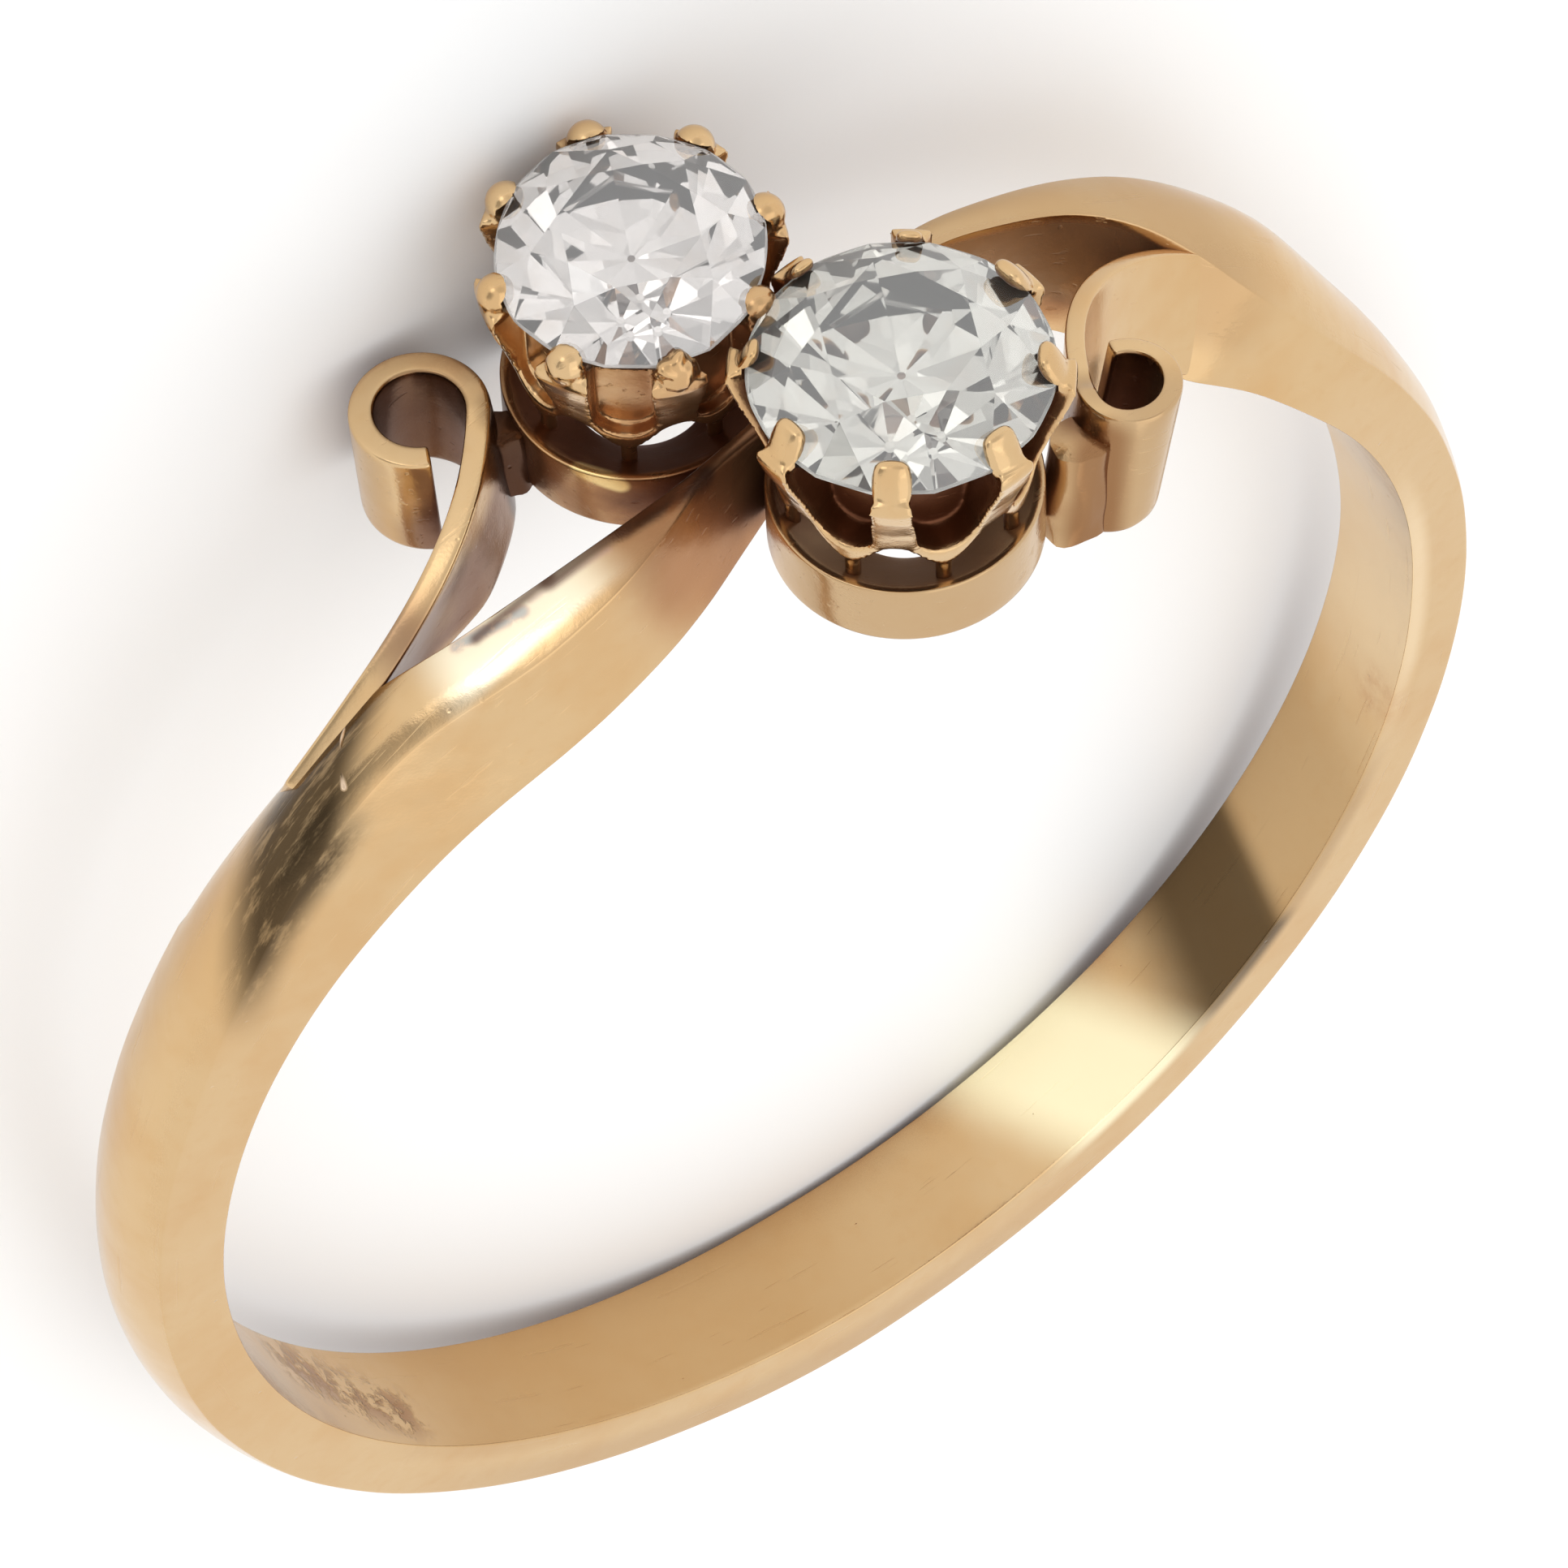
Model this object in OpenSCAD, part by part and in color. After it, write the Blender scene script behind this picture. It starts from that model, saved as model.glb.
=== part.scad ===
// Toi et moi ring: two old-cut diamonds in eight-claw collets on a bypass shank.
// Each module is drawn in the ring's own frame: the finger hole runs along Z, the stones
// face +Y and the shoulders are at -X and +X. The module laid_down() then lays it on its side.

/* [Finger hole and shank] */
// Radius of the finger hole
hole_r = 8.75; // [8.6:0.05:8.9]
// Angle between two sections of the shank
shank_step = 4; // [3, 4, 5, 6]
// Points across the domed outside of the shank
dome_points = 7; // [5, 7, 9]

/* [Scrolls] */
// Thickness of the left scroll's strip
left_strip_t = 0.3; // [0.26:0.02:0.34]
// Thickness of the right scroll's strip
right_strip_t = 0.24; // [0.22:0.02:0.28]
// Distance from the hole's centre line to the upper edge of the scroll's stem
stem_top_r = 10.5; // [10.4:0.05:10.6]
// Height of a curl's lower edge above the hole's centre line
curl_low = 8.45; // [8.35:0.05:8.55]
// Height of a curl's upper edge above the hole's centre line
curl_high = 10.15; // [10.05:0.05:10.3]
// Middle radius of the left curl
left_curl_r = 0.67; // [0.64:0.01:0.7]
// Middle radius of the right curl
right_curl_r = 0.5; // [0.48:0.01:0.54]

/* [Stones] */
// Distance of the right stone's axis from the middle, along the band
right_x = 0.76; // [0.74:0.01:0.82]
// Distance of the right stone's axis from the middle, across the band
right_z = 1.56; // [1.55:0.01:1.6]
// Height of the right girdle above the hole's centre line
right_girdle_y = 11.88; // [11.8:0.02:11.96]
// Distance of the left stone's axis from the middle, along the band
left_x = 0.82; // [0.78:0.01:0.86]
// Distance of the left stone's axis from the middle, across the band
left_z = 1.50; // [1.48:0.01:1.56]
// Height of the left girdle above the hole's centre line
left_girdle_y = 11.96; // [11.92:0.02:12.02]
// Diameter of the left diamond
left_stone_d = 3.16; // [3.1:0.02:3.2]
// Diameter of the right diamond
right_stone_d = 3.5; // [3.4:0.02:3.5]
// Lean of the left stone and its collet
left_lean = 6; // [5:0.5:7]

/* [Settings] */
// Outside radius of each base ring
base_r = 1.6; // [1.58:0.01:1.66]
// Width of each base ring's rim, inside which it slopes down like a dish
base_rim = 0.08; // [0.06:0.01:0.12]
// Radius of the bore through each base ring
base_bore_r = 0.77; // [0.72:0.01:0.8]
// Height of the base rings' lower edge
base_low = 8.85; // [8.82:0.01:8.88]
// Height of the base rings' upper edge
base_high = 9.77; // [9.74:0.01:9.8]
// Number of claws round each stone
claws = 8; // [8]
// Wall of the claw collets at the girdle
collet_wall = 0.2; // [0.18:0.01:0.22]
// Width of the left collet's claws just under the girdle
left_claw_w = 0.68; // [0.6:0.02:0.72]
// Width of the right collet's claws just under the girdle
right_claw_w = 0.46; // [0.42:0.02:0.5]
// Radius of the grain at the end of each claw
grain_r = 0.24; // [0.22:0.01:0.26]
// Gap between a stone and its metal
stone_gap = 0.03; // [0.02:0.005:0.04]
// Direction of the first claw round the left stone
left_claw_turn = 16; // [14:1:18]
// Direction of the first claw round the right stone
right_claw_turn = 38; // [36:1:40]

/* [Lying on its side] */
// Tilt that lifts the head clear of the shank's plane
lay_tilt = 6.64; // [6:0.01:7.5]
// Turn about the head's own axis as it settles
lay_roll = 1.41; // [0:0.01:3]
// Height of the hole's centre above the surface
lay_lift = 2.035; // [1.9:0.005:2.2]
// Distance of the hole's centre behind the middle of the outline
lay_back = 1.45; // [1.3:0.005:1.6]
// Distance of the hole's centre to the side of the middle of the outline
lay_side = -0.015; // [-0.1:0.005:0.1]

/* [Hidden] */
$fn = 48;
gold = [0.83, 0.6, 0.34];
diamond = [0.9, 0.93, 0.95];
// How far the shank and stems are carried into the hole before it is cut
cut_in = 0.3;
// Half the spread that smooths the tables' corners
blend = 3;
// Columns of the band tables. Z is counted toward the bypass arm of that shoulder.
A = 0;
ARM_BASE_Z = 1;
ARM_EDGE_Z = 2;
ARM_EDGE_R = 3;
CROWN_R = 4;
SCROLL_EDGE_Z = 5;
SCROLL_EDGE_R = 6;
SCROLL_BASE_Z = 7;
// Sections of the left half from the head (0) to the bottom of the shank (180)
LEFT_BAND = [
    [0, 0.30, 0.12, 9.75, 9.77, -0.12, 9.75, -0.30],
    [3, 0.50, 0.22, 9.98, 10.00, 0.05, 9.98, -0.05],
    [6, 0.72, 0.36, 10.15, 10.17, 0.26, 10.15, 0.15],
    [8, 0.86, 0.56, 10.22, 10.24, 0.36, 10.22, 0.26],
    [10.5, 1.05, 0.80, 10.25, 10.28, 0.38, 10.25, 0.30],
    [13, 1.17, 0.97, 10.25, 10.30, 0.38, 10.27, 0.32],
    [17, 1.30, 1.10, 10.25, 10.32, 0.38, 10.30, 0.34],
    [22, 1.38, 1.12, 10.22, 10.34, 0.28, 10.32, 0.28],
    [26, 1.37, 1.02, 10.24, 10.38, 0.20, 10.32, 0.20],
    [29, 1.32, 0.88, 10.30, 10.42, 0.06, 10.36, 0.06],
    [32, 1.26, 0.78, 10.30, 10.42, -0.15, 10.30, -0.35],
    [36, 1.19, 0.76, 10.27, 10.42, -0.32, 10.05, -0.95],
    [40, 1.14, 0.76, 10.25, 10.38, -0.45, 9.85, -1.03],
    [46, 1.07, 0.80, 10.15, 10.25, -0.58, 9.72, -1.02],
    [53, 0.98, 0.82, 9.95, 10.08, -0.72, 9.62, -0.97],
    [65, 0.88, 0.78, 9.70, 9.93, -0.76, 9.58, -0.88],
    [90, 0.76, 0.74, 9.60, 9.85, -0.74, 9.60, -0.76],
    [135, 0.84, 0.83, 9.60, 9.82, -0.81, 9.58, -0.84],
    [155, 0.87, 0.87, 9.60, 9.82, -0.84, 9.58, -0.87],
    [180, 0.92, 0.92, 9.66, 9.95, -0.92, 9.66, -0.92],
];
// The right half, whose arm swings wider round its stone
RIGHT_BAND = [
    [0, 0.30, 0.12, 9.75, 9.77, -0.12, 9.75, -0.30],
    [3, 0.55, 0.30, 9.95, 9.97, 0.08, 9.95, 0.00],
    [6, 0.95, 0.65, 10.05, 10.07, 0.35, 10.05, 0.25],
    [10, 1.30, 1.00, 10.15, 10.20, 0.65, 10.15, 0.50],
    [15, 1.48, 1.20, 10.35, 10.40, 0.88, 10.35, 0.70],
    [20, 1.48, 1.21, 10.40, 10.46, 0.78, 10.42, 0.68],
    [25, 1.45, 1.27, 10.40, 10.47, 0.76, 10.42, 0.66],
    [29, 1.40, 1.27, 10.40, 10.47, 0.62, 10.42, 0.50],
    [32, 1.36, 1.25, 10.40, 10.47, 0.25, 10.45, 0.15],
    [35, 1.30, 1.17, 10.40, 10.46, -0.10, 10.30, -0.45],
    [38, 1.22, 1.02, 10.38, 10.44, -0.35, 10.10, -0.68],
    [42, 1.15, 0.95, 10.28, 10.40, -0.50, 9.90, -0.70],
    [46, 1.08, 0.88, 10.15, 10.25, -0.60, 9.75, -0.74],
    [50, 1.02, 0.85, 9.95, 10.08, -0.68, 9.66, -0.88],
    [54, 0.97, 0.83, 9.80, 9.94, -0.73, 9.60, -0.95],
    [65, 0.88, 0.78, 9.62, 9.82, -0.76, 9.58, -0.88],
    [90, 0.76, 0.74, 9.60, 9.82, -0.74, 9.60, -0.76],
    [135, 0.84, 0.83, 9.62, 9.88, -0.83, 9.62, -0.84],
];
// The whole loop in true Z, from the head round by the left shoulder and back
BAND = concat(
    LEFT_BAND,
    [for (i = [len(RIGHT_BAND) - 1:-1:0]) let (r = RIGHT_BAND[i])
        [360 - r[A], -r[SCROLL_BASE_Z], -r[SCROLL_EDGE_Z], r[SCROLL_EDGE_R], r[CROWN_R],
            -r[ARM_EDGE_Z], r[ARM_EDGE_R], -r[ARM_BASE_Z]]]
);

// A table's column at angle a, with its corners smoothed
function column(c) = [for (r = BAND) [r[A], r[c]]];
function around(a) = a < 0 ? a + 360 : (a > 360 ? a - 360 : a);
function band_at(c, a) = (lookup(around(a - blend), column(c)) + 2 * lookup(a, column(c))
    + lookup(around(a + blend), column(c))) / 4;
function mix(a, b, t) = a + (b - a) * t;

// Points of the band's section at angle a, as [radius, z], from the near side over the top
function band_section(a) = let (
    near_base = band_at(ARM_BASE_Z, a), near_z = band_at(ARM_EDGE_Z, a),
    near_r = band_at(ARM_EDGE_R, a), far_base = band_at(SCROLL_BASE_Z, a),
    far_z = band_at(SCROLL_EDGE_Z, a), far_r = band_at(SCROLL_EDGE_R, a),
    crown = band_at(CROWN_R, a) - (near_r + far_r) / 2,
    low_near = cut_in / (near_r - hole_r), low_far = cut_in / (far_r - hole_r)
) concat(
    [[hole_r - cut_in, near_base + (near_base - near_z) * low_near]],
    [for (i = [0:dome_points - 1]) let (t = i / (dome_points - 1))
        [mix(near_r, far_r, t) + crown * 4 * t * (1 - t), mix(near_z, far_z, t)]],
    [[hole_r - cut_in, far_base + (far_base - far_z) * low_far]]
);

// Skins a row of sections into one solid, either closed on itself or capped at both ends
module skin(rows, loop) {
    n = len(rows[0]);
    m = len(rows);
    last = loop ? m - 1 : m - 2;
    sides = [for (i = [0:last], j = [0:n - 1]) let (
            a = i * n + j, b = i * n + (j + 1) % n,
            c = ((i + 1) % m) * n + (j + 1) % n, d = ((i + 1) % m) * n + j)
        each [[a, c, b], [a, d, c]]];
    caps = loop ? [] : [[for (j = [0:n - 1]) j], [for (j = [n - 1:-1:0]) (m - 1) * n + j]];
    polyhedron([for (row = rows) each row], concat(sides, caps), convexity = 8);
}

// Shank, shoulders and the two bypass arms that meet between the stones
module shank() {
    color(gold)
        skin([for (a = [0:shank_step:360 - shank_step])
            [for (p = band_section(a)) [-p[0] * sin(a), p[0] * cos(a), p[1]]]], true);
}

// Where a stem leaves the shoulder, as [x, z] at the left, and how it is stepped
stem_from = [-6.6, -0.05];
stem_reach = 1.5;
stem_steps = 14;
curl_steps = 22;
// Sideways shift of a stem's foot against its upper edge, as [x, shift]
LEFT_FOOT = [[-5.5, -0.85], [-4.6, -0.45], [-4.03, -0.16], [-3.57, 0.12], [-2.9, 0.3]];
RIGHT_FOOT = [[-6.2, -0.6], [-5.2, -0.45], [-4.4, -0.3], [-3.8, -0.15], [-3.2, 0]];
function curl_point(centre, r, a) = centre + r * [cos(a), sin(a)];
function bezier(p, q, r, s, t) = pow(1 - t, 3) * p + 3 * t * pow(1 - t, 2) * q
    + 3 * t * t * (1 - t) * r + pow(t, 3) * s;

// The strip on edge that leaves the shoulder, passes its stone and curls outward, at the left.
// Its stem bends toward bend and meets the curl at the angle start. The curl's foot is shifted
// by lean and its upper edge sinks by root_drop into the shoulder. Places seen from above are [x, z].
module scroll(strip_t, bend, centre, r, start, turn, foot_table, lean, root_drop) {
    join = curl_point(centre, r, start);
    before = join - stem_reach * [sin(start), -cos(start)];
    stem = [for (i = [0:stem_steps - 1]) bezier(stem_from, bend, before, join, i / stem_steps)];
    curl = [for (i = [0:curl_steps]) curl_point(centre, r, start - turn * i / curl_steps)];
    line = concat(stem, curl);
    function heading(i) = let (
            d = line[min(i + 1, len(line) - 1)] - line[max(i - 1, 0)]) d / norm(d);
    function fade(i) = max(0, 1 - max(0, i - stem_steps) / (0.4 * curl_steps));
    function foot(x, i) = i < stem_steps
        ? mix(sqrt(pow(hole_r - cut_in, 2) - x * x), curl_low, pow(i / stem_steps, 4))
        : curl_low;
    function top(x, i) = i < stem_steps
        ? min(curl_high, sqrt(pow(stem_top_r, 2) - x * x) - root_drop * pow(1 - i / stem_steps, 2))
        : curl_high;
    color(gold)
        skin([for (i = [0:len(line) - 1]) let (
                p = line[i], side = strip_t / 2 * [-heading(i)[1], heading(i)[0]],
                w = [0, lookup(p[0], foot_table) * fade(i)] + lean * pow(min(1, i / stem_steps), 3),
                inner = p + side, outer = p - side,
                inner_foot = inner + w, outer_foot = outer + w)
            [[outer[0], top(p[0], i), outer[1]], [inner[0], top(p[0], i), inner[1]],
                [inner_foot[0], foot(p[0], i), inner_foot[1]],
                [outer_foot[0], foot(p[0], i), outer_foot[1]]]], false);
}

// Bored dish under each stone
module base_ring() {
    color(gold)
        rotate([-90, 0, 0])
            rotate_extrude()
                polygon([[base_bore_r, base_low], [base_r, base_low], [base_r, base_high],
                    [base_r - base_rim, base_high], [base_bore_r, mix(base_low, base_high, 0.5)]]);
}

// Bars of solder that join each base ring to the scroll beside it, as [x, z] in the ring's frame
left_solder = [-2.52, -1.7];
right_solder = [2.45, 2.33];
solder_below_rim = 0.05;

module solder(place, r, low) {
    color(gold)
        translate([place[0], low, place[1]])
            rotate([-90, 0, 0])
                cylinder(r = r, h = base_high - solder_below_rim - low, $fn = 24);
}

// Flare of a collet, as [share of the height of its cup, share of the flare]
CUP = [[0, 0], [0.25, 0.12], [0.55, 0.48], [0.8, 0.84], [0.95, 1]];
// Outside radius of a collet's foot and its height over the base ring
foot_r = 1.48;
foot_gap = 0.29;
// Radius of the bore in a collet's floor, and how far in its pockets and arches reach
floor_bore_r = 0.45;
pocket_in_r = 1.1;
arch_in_r = 0.8;
// Radius of a pocket's round bottom, its height over the foot and the height of the arches
pocket_r = 0.36;
pocket_low = 0.32;
arch_h = 0.5;
// Radius of a foot's posts, how far their axes are inside the foot and their depth in the ring
post_r = 0.1;
post_in = 0.14;
post_sunk = 0.35;
// How far a post runs up into the foot
post_up = 0.15;
// Depth of a cup's lip under its claws' middles, the lip's height and how far it steps in
lip_low = 0.12;
lip_h = 0.04;
lip_in = 0.03;

// Flared collet with pockets between its claws and a wavy foot on small posts. The claws end in
// grains over the girdle. The stone's seat is cut later, from the whole mount.
module claw_collet(stone_d, axis_y, turn, claw_w, grain_h) {
    r = stone_d / 2;
    outside = r + stone_gap + collet_wall;
    foot_h = base_high + foot_gap - axis_y;
    cup_h = grain_h - lip_low;
    function cup_r(row) = mix(foot_r, outside, row[1]);
    color(gold)
        rotate([-90, 0, 0])
            rotate([0, 0, -turn]) {
                difference() {
                    rotate_extrude()
                        polygon(concat(
                            [[floor_bore_r, foot_h]],
                            [for (row = CUP) [cup_r(row), mix(foot_h, cup_h, row[0])]],
                            [[outside - lip_in, cup_h + lip_h], [floor_bore_r, cup_h + lip_h]]
                        ));
                    for (i = [0:claws - 1]) {
                        rotate([0, 0, 360 / claws * (i + 0.5)])
                            pocket(foot_h, outside * sin(180 / claws) - claw_w / 2);
                        rotate([0, 0, 360 / claws * i])
                            arch(foot_h);
                    }
                }
                for (i = [0:claws - 1]) {
                    rotate([0, 0, 360 / claws * i])
                        translate([r, 0, grain_h])
                            sphere(r = grain_r, $fn = 24);
                    rotate([0, 0, 360 / claws * (i + 0.5)])
                        translate([foot_r - post_in, 0, foot_h - foot_gap - post_sunk])
                            cylinder(r = post_r, h = foot_gap + post_sunk + post_up, $fn = 16);
                }
            }
}

// Room left for a stone, a little larger all round than the stone itself
module stone_seat(stone_d) {
    gap = stone_gap;
    up = girdle_h / 2 + gap;
    rotate([-90, 0, 0])
        rotate_extrude()
            polygon([
                [0, -up - pavilion_h(stone_d)], [culet_r(stone_d) + gap, -up - pavilion_h(stone_d)],
                [lower_r(stone_d) + gap, lower_h(stone_d) - gap],
                [stone_d / 2 + gap, -up], [stone_d / 2 + gap, up],
                [star_r(stone_d) + gap, star_h(stone_d) + gap],
                [table_r(stone_d) + gap, up + crown_h(stone_d)], [0, up + crown_h(stone_d)]
            ]);
}

// Cutter for the pocket between two claws, over the foot at foot_h and half_w wide on either
// side at the girdle
module pocket(foot_h, half_w) {
    low = foot_h + pocket_low + pocket_r;
    translate([pocket_in_r, 0, 0])
        rotate([90, 0, 90])
            linear_extrude(2) {
                translate([0, low])
                    circle(r = pocket_r);
                polygon([[-pocket_r, low], [pocket_r, low], [half_w, low + 1], [half_w, 1],
                    [-half_w, 1], [-half_w, low + 1]]);
            }
}

// Cutter for the low arch under a claw, which leaves a wavy foot
module arch(foot_h) {
    half_w = foot_r * sin(180 / claws);
    translate([arch_in_r, 0, foot_h])
        rotate([90, 0, 90])
            linear_extrude(2)
                polygon(concat(
                    [[-half_w, -0.1]],
                    [for (i = [-7:7]) [half_w * i / 8, arch_h * (1 + cos(180 * i / 8)) / 2]],
                    [[half_w, -0.1]]
                ));
}

// Old-cut diamond of diameter d with a small table, a high crown and an open culet. Its rows
// of corners, from the table down, are the stars, the girdle, the lowers and the culet.
cut_n = 8;
girdle_h = 0.06;
function table_r(d) = d * 0.26;
function star_r(d) = mix(table_r(d), d / 2, 0.4);
function lower_r(d) = d * 0.425;
function culet_r(d) = d * 0.015;
function crown_h(d) = d * 0.16;
function pavilion_h(d) = d * 0.44;
function star_h(d) = let (flat = cos(180 / cut_n))
    girdle_h / 2 + crown_h(d) * (d / 2 - star_r(d) * flat) / (d / 2 - table_r(d));
function lower_h(d) = let (flat = cos(180 / cut_n))
    -girdle_h / 2 - pavilion_h(d) * (d / 2 - lower_r(d) * flat) / (d / 2 - culet_r(d) * flat);
function ring_point(r, a, h) = [r * cos(a), r * sin(a), h];
// Height on the plane through p, q and s above the point v
function plane_h(p, q, s, v) = let (n = cross(q - p, s - p))
    p[2] - (n[0] * (v[0] - p[0]) + n[1] * (v[1] - p[1])) / n[2];

module old_cut(d, cushion) {
    n = cut_n;
    step = 360 / n;
    r = d / 2;
    up = girdle_h / 2;
    function rim(a) = r * (1 - cushion * (1 - cos(4 * a)) / 2);
    tables = [for (k = [0:n - 1]) ring_point(table_r(d), k * step, up + crown_h(d))];
    stars = [for (k = [0:n - 1]) ring_point(star_r(d), (k + 0.5) * step, star_h(d))];
    lowers = [for (k = [0:n - 1]) ring_point(lower_r(d), (k + 0.5) * step, lower_h(d))];
    culets = [for (k = [0:n - 1]) ring_point(culet_r(d), (k + 0.5) * step, -up - pavilion_h(d))];
    mains = [for (k = [0:n - 1]) ring_point(rim(k * step), k * step, 0)];
    halves = [for (k = [0:n - 1]) ring_point(rim((k + 0.5) * step), (k + 0.5) * step, 0)];
    function edge(i, h) = let (
            k = floor(i / 4), a = i * step / 4, v = ring_point(rim(a), a, 0),
            s = h > 0 ? stars[k] : lowers[k], q = halves[k] + [0, 0, h],
            g = (i % 4 < 2 ? mains[k] : mains[(k + 1) % n]) + [0, 0, h])
        [v[0], v[1], i % 2 == 0 ? h : plane_h(s, q, g, v)];
    m = 4 * n;
    tops = [for (i = [0:m - 1]) edge(i, up)];
    unders = [for (i = [0:m - 1]) edge(i, -up)];
    points = concat(tables, stars, tops, unders, lowers, culets);
    ts = 0;
    st = n;
    to = 2 * n;
    un = to + m;
    lo = un + m;
    cu = lo + n;
    function wrap(i, k) = (i + k) % k;
    faces = concat(
        [[for (k = [n - 1:-1:0]) ts + k]],
        [for (k = [0:n - 1]) [ts + k, ts + wrap(k + 1, n), st + k]],
        [for (k = [0:n - 1]) each [
            [ts + k, st + k, to + 4 * k], [ts + k, to + 4 * k, st + wrap(k - 1, n)],
            [st + k, to + 4 * k + 1, to + 4 * k], [st + k, to + 4 * k + 2, to + 4 * k + 1],
            [st + k, to + 4 * k + 3, to + 4 * k + 2],
            [st + k, to + wrap(4 * k + 4, m), to + 4 * k + 3],
            [lo + k, un + 4 * k, un + 4 * k + 1], [lo + k, un + 4 * k + 1, un + 4 * k + 2],
            [lo + k, un + 4 * k + 2, un + 4 * k + 3],
            [lo + k, un + 4 * k + 3, un + wrap(4 * k + 4, m)],
            [cu + k, cu + wrap(k - 1, n), lo + wrap(k - 1, n)],
            [cu + k, lo + wrap(k - 1, n), un + 4 * k], [cu + k, un + 4 * k, lo + k]]],
        [for (i = [0:m - 1]) each [
            [to + i, to + wrap(i + 1, m), un + wrap(i + 1, m)],
            [to + i, un + wrap(i + 1, m), un + i]]],
        [[for (k = [0:n - 1]) cu + k]]
    );
    color(diamond)
        rotate([-90, 0, 0])
            polyhedron(points, faces);
}

// Puts a stone and its collet on their own axis
module at_left_girdle() {
    translate([-left_x, left_girdle_y, -left_z])
        rotate([left_lean * 0.8, 0, left_lean * 0.5])
            children();
}

module at_right_girdle() {
    translate([right_x, right_girdle_y, right_z])
        children();
}

// Lays the ring on its side, with its head toward -Y
module laid_down() {
    translate([lay_side, lay_back, lay_lift])
        rotate([0, 0, 180])
            rotate([lay_tilt, lay_roll, 0])
                children();
}

module finger_hole() {
    translate([0, 0, -8])
        cylinder(r = hole_r, h = 16);
}

module gold_mount() {
    laid_down()
        difference() {
            union() {
                shank();
                scroll(strip_t = left_strip_t, bend = [-4.9, -0.1], centre = [-3.33, -2.22],
                    r = left_curl_r, start = 35, turn = 283, foot_table = LEFT_FOOT,
                    lean = [0.06, 0], root_drop = 0.35);
                rotate([0, 180, 0])
                    scroll(strip_t = right_strip_t, bend = [-4.6, 0.3], centre = [-3.48, -2.13],
                        r = right_curl_r, start = 20, turn = 280, foot_table = RIGHT_FOOT,
                        lean = [0.44, -0.12], root_drop = 0.42);
                translate([-left_x, 0, -left_z])
                    base_ring();
                translate([right_x, 0, right_z])
                    base_ring();
                solder(left_solder, r = 0.2, low = hole_r);
                solder(right_solder, r = 0.28, low = curl_low);
                at_left_girdle()
                    claw_collet(left_stone_d, left_girdle_y, left_claw_turn, left_claw_w,
                        grain_h = -0.06);
                at_right_girdle()
                    claw_collet(right_stone_d, right_girdle_y, right_claw_turn, right_claw_w,
                        grain_h = 0.1);
            }
            at_left_girdle()
                stone_seat(left_stone_d);
            at_right_girdle()
                stone_seat(right_stone_d);
            finger_hole();
        }
}

module left_diamond() {
    laid_down()
        at_left_girdle()
            old_cut(left_stone_d, cushion = 0.03);
}

module right_diamond() {
    laid_down()
        at_right_girdle()
            old_cut(right_stone_d, cushion = 0);
}

gold_mount();
left_diamond();
right_diamond();
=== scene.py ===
import math
import bpy
import numpy as np
from mathutils import Matrix, Vector, noise


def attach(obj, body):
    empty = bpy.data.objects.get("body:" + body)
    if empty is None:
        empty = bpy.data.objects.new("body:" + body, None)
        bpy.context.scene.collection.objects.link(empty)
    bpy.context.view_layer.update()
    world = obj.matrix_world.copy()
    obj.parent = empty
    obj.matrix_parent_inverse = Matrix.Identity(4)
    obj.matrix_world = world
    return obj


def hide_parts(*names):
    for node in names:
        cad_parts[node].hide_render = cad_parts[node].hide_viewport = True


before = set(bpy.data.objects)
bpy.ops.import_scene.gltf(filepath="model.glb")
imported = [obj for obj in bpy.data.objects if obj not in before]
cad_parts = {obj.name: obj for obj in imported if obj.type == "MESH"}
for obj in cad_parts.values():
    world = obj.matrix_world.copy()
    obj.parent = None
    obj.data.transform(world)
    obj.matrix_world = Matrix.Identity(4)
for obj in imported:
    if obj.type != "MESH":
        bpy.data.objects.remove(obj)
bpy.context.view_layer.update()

# The ring is modelled in millimetres in its own frame: the finger hole along Z, the stones up at +Y.
# These values lay it on its side, where it rests.
lying = {"tilt": 6.64, "roll": 1.41, "lift": 2.035, "back": 1.45, "side": -0.015}
layMatrix = (
    Matrix.Scale(0.001, 4)
    @ Matrix.Translation((lying["side"], lying["back"], lying["lift"]))
    @ Matrix.Rotation(math.pi, 4, "Z")
    @ Matrix.Rotation(math.radians(lying["roll"]), 4, "Y")
    @ Matrix.Rotation(math.radians(lying["tilt"]), 4, "X")
)


def deselectAll():
    bpy.ops.object.select_all(action="DESELECT")


def pickOnly(piece):
    deselectAll()
    piece.select_set(True)
    bpy.context.view_layer.objects.active = piece


def newPiece(name):
    piece = bpy.context.object
    piece.name = name
    piece.data.name = name
    return piece


def addModifier(piece, kind, **values):
    modifier = piece.modifiers.new(kind.lower(), kind)
    for key, value in values.items():
        setattr(modifier, key, value)
    pickOnly(piece)
    bpy.ops.object.modifier_apply(modifier=modifier.name)


def joinPieces(pieces):
    deselectAll()
    for piece in pieces:
        piece.select_set(True)
    bpy.context.view_layer.objects.active = pieces[0]
    bpy.ops.object.join()
    return pieces[0]


def applyPlace(piece):
    pickOnly(piece)
    bpy.ops.object.transform_apply(location=True, rotation=True, scale=True)


def facesOut(piece):
    pickOnly(piece)
    bpy.ops.object.mode_set(mode="EDIT")
    bpy.ops.mesh.select_all(action="SELECT")
    bpy.ops.mesh.normals_make_consistent(inside=False)
    bpy.ops.object.mode_set(mode="OBJECT")


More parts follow.
